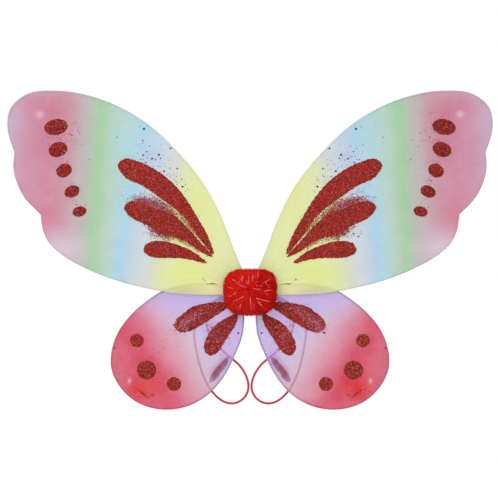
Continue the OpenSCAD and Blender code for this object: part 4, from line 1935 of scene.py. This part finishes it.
@dataclass
class BackPad:
    """Felt patch with its stitches, the knots' stitches and the wadding in front of it."""

    corner: float = 0.012
    seam_in: float = 0.0026
    stitches: int = 20
    stitch_length: float = 0.0036
    thread: float = 0.00032

    @staticmethod
    def rounded(half_wide: float, half_high: float, corner: float, count: int) -> Array:
        """Outline of a rounded rectangle, evenly spaced, from its right-hand side round.

        Args:
            half_wide: half its width.
            half_high: half its height.
            corner: radius of its corners.
            count: number of points.

        Returns:
            (count, 2) points.
        """
        angle = np.linspace(0, math.pi / 2, 13)
        arc = np.stack([np.cos(angle), np.sin(angle)], -1) * corner
        arc = arc + (half_wide - corner, half_high - corner)
        quarter = np.vstack([arc, arc[::-1] * (-1, 1)])
        ring = np.vstack([quarter, -quarter, quarter[:1]])
        return evenly(ring, count + 1)[:-1]

    def slab(self, low: Array, high: Array, corner: float, edge: float, crown: float,
             dimples: Callable[[Array, Array], Array] | None = None) -> Shape:
        """Pad with a rounded edge: rings of the outline drawn in towards the middle.

        From the rim inward a face rises by edge * (1 - (1 - t)^2) and by a crown of
        (1 - r^2), and dimples(x, z) is taken off the rear face.

        Args:
            low: lowest corner of its box.
            high: highest corner of its box.
            corner: radius of its corners.
            edge: width of its rounded edge.
            crown: share of its thickness that the crown takes.
            dimples: depth of the dents in its rear at flat places.

        Returns:
            The closed pad.
        """
        middle, half = (low + high) / 2, (high - low) / 2
        ring = self.rounded(half[0], half[2], corner, 120)
        share = np.concatenate([1 - edge / half[0] * (1 - np.cos(np.linspace(
            0, math.pi / 2, 6))), np.linspace(1 - edge / half[0], 0, 16)[1:]])
        depth = np.concatenate([np.sin(np.linspace(0, math.pi / 2, 6)), np.ones(15)])
        flat = ring[None] * share[:, None, None]
        crowned = 1 - crown + crown * (1 - share**2)[:, None]
        faces = []
        for sign in (1, -1):
            y = sign * half[1] * depth[:, None] * crowned * np.ones(len(ring))
            if dimples is not None and sign > 0:
                y = y - dimples(flat[..., 0], flat[..., 1]) * (depth > 0.9)[:, None]
            faces.append(np.stack([middle[0] + flat[..., 0], middle[1] + y,
                                   middle[2] + flat[..., 1]], -1))
        rings = np.concatenate([faces[0][::-1], faces[1][1:]], 0)
        return Shape(rings.reshape(-1, 3), [grid_faces(*rings.shape[:2], wrap=True)]).outward()

    def seam(self, half: Array) -> tuple[Array, Array]:
        """Middles of the stitches and the directions along them, on an oval.

        Args:
            half: half the size of the felt.

        Returns:
            The middles and the directions.
        """
        turn = (np.arange(self.stitches) + 0.5) * TURN / self.stitches
        across, up = half[0] - self.seam_in, half[2] - self.seam_in
        middles = np.stack([across * np.cos(turn), up * np.sin(turn)], -1)
        return middles, unit(np.stack([-across * np.sin(turn), up * np.cos(turn)], -1))

    def make_felt(self, finish: bpy.types.Material) -> bpy.types.Object:
        """Args:
            finish: the piece's material.

        Returns:
            The patch.
        """
        low, high = (np.array(v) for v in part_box("back_felt"))
        seam, _ = self.seam((high - low) / 2)

        def pulled(x: Array, z: Array) -> Array:
            """Depth of the dent at a flat point: 0.3 mm at a stitch, gone 2 mm away."""
            far = np.sqrt(((np.stack([x, z], -1)[..., None, :] - seam) ** 2).sum(-1)).min(-1)
            return 0.0003 * np.exp(-(far / 0.0016) ** 2)

        piece = build("felt_patch", self.slab(low, high, self.corner, 0.0006, 0.05, pulled),
                      finish, "centre", ["back_felt"], weld=2e-6, sharp=60.0)
        return piece

    def make_wadding(self, finish: bpy.types.Material) -> bpy.types.Object:
        """Args:
            finish: the piece's material.

        Returns:
            The pad.
        """
        low, high = (np.array(v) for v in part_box("back_wadding"))
        piece = build("wadding_pad", self.slab(low, high, 0.005, 0.0022, 0.12), finish,
                      "centre", ["back_wadding"], weld=2e-6, sharp=180.0)
        return piece

    def make_seam(self, finish: bpy.types.Material) -> bpy.types.Object:
        """Makes the stitches: short threads that arch out of the felt and dive back.

        Args:
            finish: the piece's material.

        Returns:
            The stitches.
        """
        low, high = (np.array(v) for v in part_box("back_felt"))
        middles, along = self.seam((high - low) / 2)
        s = np.linspace(-0.5, 0.5, 13)
        flat = middles[:, None] + along[:, None] * (s * self.stitch_length)[:, None]
        arch = high[1] - 0.00072 + 0.00072 * np.cos(math.pi * s * 0.98) ** 0.6
        paths = np.stack([flat[..., 0], np.broadcast_to(arch, flat.shape[:2]), flat[..., 1]], -1)
        return build("felt_seam", tubes(paths, self.thread, 8), finish, "centre",
                     ["felt_stitches"])

    def make_knot_ties(self, finish: bpy.types.Material) -> bpy.types.Object:
        """Makes the threads that sew the knots to the felt: two loops over each knot.

        Args:
            finish: the piece's material.

        Returns:
            The threads of both knots.
        """
        low, high = (np.array(v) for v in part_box("strap_knot_left"))
        middle, half = (low + high) / 2, (high - low) / 2
        t = np.arange(64) * TURN / 64
        loops = []
        for along, lean in ((0.0011, 0.12), (0.0031, -0.1), (0.0022, 0.03)):
            x = low[0] + along + lean * half[2] * np.sin(t)
            path = np.stack([x, middle[1] + (half[1] + 0.0001) * np.cos(t),
                             middle[2] + (half[2] + 0.0001) * np.sin(t)], -1)
            loops.append(tubes(path, self.thread * 0.9, 8, ref=(1, 0, 0), closed=True))
        threads = join(loops)
        return build("knot_ties", join([threads, threads.mirrored()]), finish,
                     "centre", ["knot_stitches"])


@dataclass
class CentreBinding:
    """Twisted wire ends, their ties and the cotton tape that binds both sides together."""

    strand: float = 0.00072
    strand_turns: float = 3.2
    thread: float = 0.00027
    tape: float = 0.00038
    tape_turns: float = 2.06
    tape_start: float = 0.2        # angle at which the tape begins

    def make_tape(self, node: str, name: str, finish: bpy.types.Material) -> bpy.types.Object:
        """Makes a band of tape: a flat profile carried twice round both twisted ends.

        The path is a slot's outline whose distance from the twisted ends grows steadily.

        Args:
            node: the CAD band.
            name: the piece's name.
            finish: the piece's material.

        Returns:
            The band.
        """
        low, high = (np.array(v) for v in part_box(node))
        middle, half = (low + high) / 2, (high - low) / 2
        reach = half[0] - half[1]
        turn = self.tape_start + np.linspace(0, self.tape_turns * TURN, 230)
        grow = np.linspace(half[1] - 3.1 * self.tape, half[1] - self.tape * 0.55, 230)
        side = np.clip(np.cos(turn) * 3.2, -1, 1)
        x = middle[0] + reach * side + grow * np.cos(turn)
        y = middle[1] + grow * np.sin(turn) / np.maximum(np.abs(np.sin(turn)), 0.35) ** 0.35
        y = np.clip(y, middle[1] - grow, middle[1] + grow)
        z = middle[2] + 0.0001 * np.sin(turn * 1.3)
        path = np.stack([x, y, z], -1)
        shape = tubes(path, 0.001, 20, ref=(0, 0, 1),
                      profile=(self.tape / 2 / MM, half[2] / MM))
        return build(name, shape, finish, "centre", [node], sharp=60.0)

    def make_twist(self, side: Side, finish: bpy.types.Material) -> bpy.types.Object:
        """Makes the twisted ends: three strands wound round each other as helices.

        Args:
            side: the side.
            finish: the piece's material.

        Returns:
            The strands.
        """
        low, high = (np.array(v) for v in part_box("wire_twist_left"))
        middle = (low + high) / 2
        t = np.linspace(0, 1, 90)
        orbit = (high[0] - low[0]) / 2 - self.strand
        turn = t * self.strand_turns * TURN + (np.arange(3) * TURN / 3)[:, None]
        z = np.broadcast_to(low[2] + (high[2] - low[2]) * t, turn.shape)
        paths = np.stack([middle[0] + orbit * np.cos(turn), middle[1] + orbit * np.sin(turn),
                          z], -1)
        return build(f"twisted_ends_{side.value}", tubes(paths, self.strand, 10).on(side),
                     finish, f"{side.value}_wings", [side.node("wire_twist")])

    def make_tie(self, side: Side, finish: bpy.types.Material) -> bpy.types.Object:
        """Makes the tie: thread wound closely round the wires as a helix.

        Args:
            side: the side.
            finish: the piece's material.

        Returns:
            The thread.
        """
        low, high = (np.array(v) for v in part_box("centre_tie_left"))
        middle = (low + high) / 2
        winds = int((high[2] - low[2]) / (2 * self.thread))
        turn = np.linspace(0, winds * TURN, winds * 26)
        z = np.linspace(low[2] + self.thread, high[2] - self.thread, len(turn))
        orbit = (high[0] - low[0]) / 2 - self.thread
        path = np.stack([middle[0] + orbit * np.cos(turn), middle[1] + orbit * np.sin(turn),
                         z], -1)
        return build(f"wire_tie_{side.value}", tubes(path, self.thread, 7, ref=(0, 0, 1))
                     .on(side), finish, f"{side.value}_wings",
                     [side.node("centre_tie")])


# ------------------------------------------------------------------ the whole object

UPPER_DYE = SheerDye(
    "Upper sheer", (1.0, 0.0), 0.1, (0.25, 0.06), (0.11, 0.15),
    ((0.012, "e6ecaf"), (0.03, "e6ecac"), (0.045, "e5eaa4"), (0.06, "e4eaae"),
     (0.072, "e0e6bc"), (0.08, "dbdfd2"), (0.09, "d6dde0"), (0.1, "cddae3"), (0.108, "c3d5e3"),
     (0.117, "b2d8ea"), (0.125, "b4d9e4"), (0.135, "bbd7d3"), (0.145, "b8d4be"),
     (0.15, "aed3ae"), (0.155, "a9d2a8"), (0.163, "bdc3b8"), (0.172, "c6b7bb"),
     (0.182, "cda2af"), (0.192, "d096a9"), (0.205, "d491a8"), (0.215, "d292a9"),
     (0.225, "d296ae"), (0.24, "d0a6bc")),
    (DyeAndHighlightSpot(0.197, 0.162, 0.014, 0.03, "ca7690", 0.65, 0.64),
     DyeAndHighlightSpot(0.205, 0.074, 0.009, 0.018, "db7d99", 0.6, 0.62),
     DyeAndHighlightSpot(0.196, 0.181, 0.017, 0.009, "cb7a93", 0.65, 0.62),
     DyeAndHighlightSpot(0.19, 0.044, 0.024, 0.017, "dccdd8", 0.85),
     DyeAndHighlightSpot(0.243, 0.172, 0.01, 0.026, "c9b4cc", 0.8),
     DyeAndHighlightSpot(0.21, 0.203, 0.03, 0.006, "ccb2c1", 0.7),
     DyeAndHighlightSpot(0.06, 0.02, 0.026, 0.01, "e4f08e", 0.6, 0.66),
     DyeAndHighlightSpot(0.062, -0.0005, 0.03, 0.004, "dfd9c6", 0.7, 0.6),
     # painted light: a bright spot near the root that lifts the shade of the pom-pom and of the
     # layers there
     DyeAndHighlightSpot(0.034, 0.004, 0.017, 0.008, "f4ecb0", 0.85, 0.86),
     DyeAndHighlightSpot(0.098, 0.136, 0.014, 0.011, "c4c8e6", 0.6),
     DyeAndHighlightSpot(0.117, 0.155, 0.02, 0.03, "b4d8e6", 0.5),
     # painted highlight: a small whitish satin gleam near the top of the upper wing
     DyeAndHighlightSpot(0.21, 0.178, 0.004, 0.0035, "ecd8e0", 0.5)),
    ((0.0, 0.68), (0.07, 0.64), (0.1, 0.57), (0.25, 0.57)))

LOWER_DYE = SheerDye(
    "Lower sheer", (0.857, -0.514), 0.0, (0.0, 0.0), (0.1, 0.2),
    ((0.02, "cfb8ea"), (0.04, "d3bdec"), (0.052, "d2b6e4"), (0.062, "d0c3e8"),
     (0.072, "dac2dd"), (0.08, "dcbed1"), (0.087, "dcb5c8"), (0.094, "e0a4b7"),
     (0.1, "dd92a8"), (0.107, "de7e95"), (0.115, "dc6880"), (0.122, "da5870"),
     (0.13, "db586f"), (0.141, "dc657c"), (0.156, "d66c82")),
    (DyeAndHighlightSpot(0.078, -0.006, 0.034, 0.014, "c9b4ec", 0.75),
     DyeAndHighlightSpot(0.081, -0.061, 0.014, 0.011, "e8a8bc", 0.4),
     DyeAndHighlightSpot(0.057, -0.1, 0.014, 0.011, "e0a8b8", 0.5),
     DyeAndHighlightSpot(0.105, -0.086, 0.019, 0.02, "da3856", 0.8, 0.88),
     DyeAndHighlightSpot(0.107, -0.096, 0.013, 0.011, "d8002e", 0.97, 0.99),
     DyeAndHighlightSpot(0.026, -0.069, 0.0045, 0.005, "bc7c8c", 0.8, 0.6),
     DyeAndHighlightSpot(0.0303, -0.0752, 0.0042, 0.0042, "bc7282", 0.8, 0.6),
     DyeAndHighlightSpot(0.0345, -0.081, 0.0045, 0.0065, "bc7a8a", 0.8, 0.6),
     # painted highlight: a narrow glint on the lower wing
     DyeAndHighlightSpot(0.1205, -0.0885, 0.0016, 0.0028, "f6ccd4", 0.6)),
    ((0.0, 0.57), (0.087, 0.57), (0.1, 0.68), (0.12, 0.8), (0.156, 0.78)))


UPPER_MISTS = (
    Mist(-97, 134, 12, 6, -44, 60, 0.3, 0.3, MAUVE), Mist(-76, 114, 12, 4, -46, 50, 0.32),
    Mist(-88, 83, 11, 3.0, -34, 1500, 0.34, 0.25, MAUVE),
    Mist(-104, 90, 8, 2.4, -12, 1000, 0.34, 0.3, MAUVE),
    Mist(-60, 66.5, 11, 1.7, -51, 640, 0.34, 0.62, GOLD),
    Mist(-82, 85, 9, 2.6, -38, 520, 0.34, 0.4, GOLD),
    Mist(-64, 50, 12, 1.6, -27, 560, 0.34, 0.62, GOLD),
    Mist(-91, 60, 7, 2.2, -27, 620, 0.36, 0.15, MAUVE), Mist(-90, 56, 9, 2, -8, 120, 0.34),
    # The two mists at (-37.5, 8.6) and (-46, 12.8) are painted shade of a small crease near the
    # root, drawn as dark flakes.
    Mist(-112, 84, 10, 6, -30, 60, 0.3), Mist(-37.5, 8.6, 2.2, 0.2, -2, 70, 0.26, 0.3, INK),
    Mist(-46, 12.8, 0.9, 0.5, 0, 8, 0.3))

UPPER_DROPS = (
    Drop(-106, 163.6, 1.25), Drop(-110.8, 165.9, 0.5), Drop(-132.8, 155.3, 0.65),
    Drop(-112.3, 148.1, 0.4), Drop(-100.3, 146.4, 0.55), Drop(-89.2, 148.3, 0.4),
    Drop(-79.4, 144.2, 1.0), Drop(-103.4, 140.9, 0.75), Drop(-91.1, 137.8, 1.15),
    Drop(-89.5, 134.2, 0.75), Drop(-98, 133.8, 1.0), Drop(-95, 132.5, 0.6),
    Drop(-104.3, 130, 0.8), Drop(-112.3, 139.4, 0.4), Drop(-106.7, 133.2, 0.5),
    Drop(-109.2, 133.2, 0.65), Drop(-81.2, 132.3, 0.45), Drop(-91.7, 126.4, 0.55),
    Drop(-85.9, 121.3, 1.1), Drop(-72.8, 123.8, 0.85), Drop(-80.1, 123.7, 0.45),
    Drop(-73.9, 115.9, 0.6), Drop(-68.1, 112.6, 0.6), Drop(-67.5, 105.8, 1.15),
    Drop(-73.9, 111.4, 0.45), Drop(-64.5, 101.4, 0.55), Drop(-105.9, 99.2, 0.6),
    Drop(-108.9, 95.3, 0.6), Drop(-113.9, 103.1, 0.4), Drop(-50.6, 76.4, 0.4),
    Drop(-98.4, 60.9, 0.8), Drop(-85.1, 55.9, 0.5), Drop(-160.5, 133, 0.6),
    Drop(-170.5, 159.2, 0.6), Drop(-133, 150, 0.4))

UPPER_WORN = ((0, -65, 73, 13, 1.0), (1, -92, 88, 15, 4.0), (1, -110, 93, 8, 1.4),
              (1, -70, 50.5, 17, 3.0), (1, -96, 62, 8, 1.2), (1, -60, 64, 9, -1.0))

UPPER_DOT_MISTS = (
    Mist(-190, 155, 8, 10, 0, 70, 0.34), Mist(-174, 165, 3, 4, 0, 12, 0.42),
    Mist(-185, 128, 5, 3, 20, 40, 0.34), Mist(-182, 112, 6, 12, 20, 30, 0.3),
    Mist(-172, 88, 5, 7, 20, 24, 0.3), Mist(-183, 150, 9, 5, 0, 30, 0.34))

LOWER_MISTS = (
    Mist(-55, -25, 14, 5, 32, 90, 0.3), Mist(-32, -44, 7, 10, 30, 70, 0.3),
    Mist(-30, -16, 10, 3, 10, 60, 0.32, 0.3),
    Mist(-65, -31, 6, 3.0, 40, 330, 0.34, 0.8, MAUVE, 0.00046),
    Mist(-50, -20, 9, 2.2, 30, 170, 0.32, 0.7, MAUVE, 0.00046),
    Mist(-37, -41, 3, 6, 20, 150, 0.32, 0.7, MAUVE, 0.00046))

LOWER_DOT_MISTS = (Mist(-98, -70, 14, 16, 30, 50, 0.28),
                   Mist(-107, -101, 4.5, 0.7, -38, 60, 0.36, 1.0, 0.45),
                   Mist(-98, -102.5, 1.4, 0.6, 40, 16, 0.36, 1.0, 0.45))

LOWER_DROPS = (Drop(-11.7, -40.6, 1.0), Drop(-135.4, -55.5, 0.8))


def make_wings(side: Side, dyes: dict[str, bpy.types.Material],
               wires: dict[str, bpy.types.Material], glitter: bpy.types.Material) -> None:
    """Makes the two wings of one side with their paint.

    Args:
        side: the side.
        dyes: cloth material of each stem.
        wires: wire material of each stem.
        glitter: the paint's material.
    """
    shift = 0 if side is Side.LEFT else 400
    wings = (Wing("upper", side, (0.0133, -0.002), 230, 76, 101 + shift),
             Wing("lower", side, (0.002, -0.0133), 150, 60, 211 + shift))
    mists = {"upper": (UPPER_MISTS, UPPER_DOT_MISTS), "lower": (LOWER_MISTS, LOWER_DOT_MISTS)}
    for wing in wings:
        wing.make_wire(wires[wing.stem])
        wing.make_cloth(dyes[wing.stem])
        upper = wing.stem == "upper"
        GlitterPaint(wing, "strokes", 0.0007, mists[wing.stem][0],
                     UPPER_DROPS if upper else LOWER_DROPS, UPPER_WORN if upper else (),
                     mauve=0.01 if upper else 0.06, top=0.88 if upper else 0.8).make(glitter)
        GlitterPaint(wing, "dots", 0.0004, mists[wing.stem][1],
                     gold=0.03 if upper else 0.1, top=0.62 if upper else 0.8).make(glitter)


def main() -> None:
    """Builds the whole object in the CAD frame."""
    logging.basicConfig(level=logging.INFO, format="%(message)s")
    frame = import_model()
    studio = Studio()
    studio.camera()
    effects = Effects()
    elastic = PliedThread("Braided elastic", "c82236", "7a1022", 8.0, 0.55, 1.0, 0.00012,
                          0.6).material(effects)
    for side in Side:
        loop = ElasticLoop(side)
        loop.make_loop(elastic)
        loop.make_knot(elastic)
    studio.light()
    studio.floor(effects)

    dyes = {"upper": UPPER_DYE.material(effects), "lower": LOWER_DYE.material(effects)}
    # painted shade and highlight: the lower wings' wire is grey as shade along their rims, and
    # the upper wings' wire pale, partly the coating's own colour and partly a painted highlight
    # along the rim; the twisted ends use the grey too
    pale, grey = CoatedWire().material(effects), CoatedWire("Grey wire", "8d8890").material(
        effects)
    glitter = GlitterGlue().material(effects)
    white = PliedThread("White thread", "ece9e4", "b5aea6", 3.0, 0.8, 0.0, 0.00006,
                        0.55).material(effects)
    red = PliedThread("Red thread", "c21f28", "74101a", 2.0, 0.5, 0.0, 0.00012,
                      0.5).material(effects)
    binding = CentreBinding()
    for side in Side:
        make_wings(side, dyes, {"upper": pale, "lower": grey}, glitter)
        binding.make_twist(side, grey)
        binding.make_tie(side, white)
    tape = CottonTape().material(effects)
    binding.make_tape("binding_tape_upper", "tape_band_upper", tape)
    binding.make_tape("binding_tape_lower", "tape_band_lower", tape)

    pad = BackPad()
    pad.make_wadding(MattedCloth("Wadding", "f2f0ec", "cfcac2", 700.0, 0.0003)
                     .material(effects))
    pad.make_felt(MattedCloth("Felt", "b3161f", "7d0c14", 1100.0, 0.00012).material(effects))
    pad.make_seam(red)
    pad.make_knot_ties(red)

    pompom = PomPom()
    fibre, foil = PlushFibre().material(effects), TinselFoil().material(effects)
    for side in Side:
        pompom.make(side, fibre, foil)
    core = MattedCloth("Pressed fibre core", "9c1018", "5d070d", 800.0, 0.0004)
    tie = MattedCloth("Tie thread", "c21f28", "74101a", 1800.0, 0.00008)
    kept = {"pompom_core": core.material(effects), "pompom_tie_thread": tie.material(effects)}
    for node, finish in kept.items():
        mesh = frame["nodes"][node].data
        mesh.materials.clear()
        mesh.materials.append(finish)
        LOG.info("%s: CAD part, dressed", node)


if __name__ == "__main__":
    main()
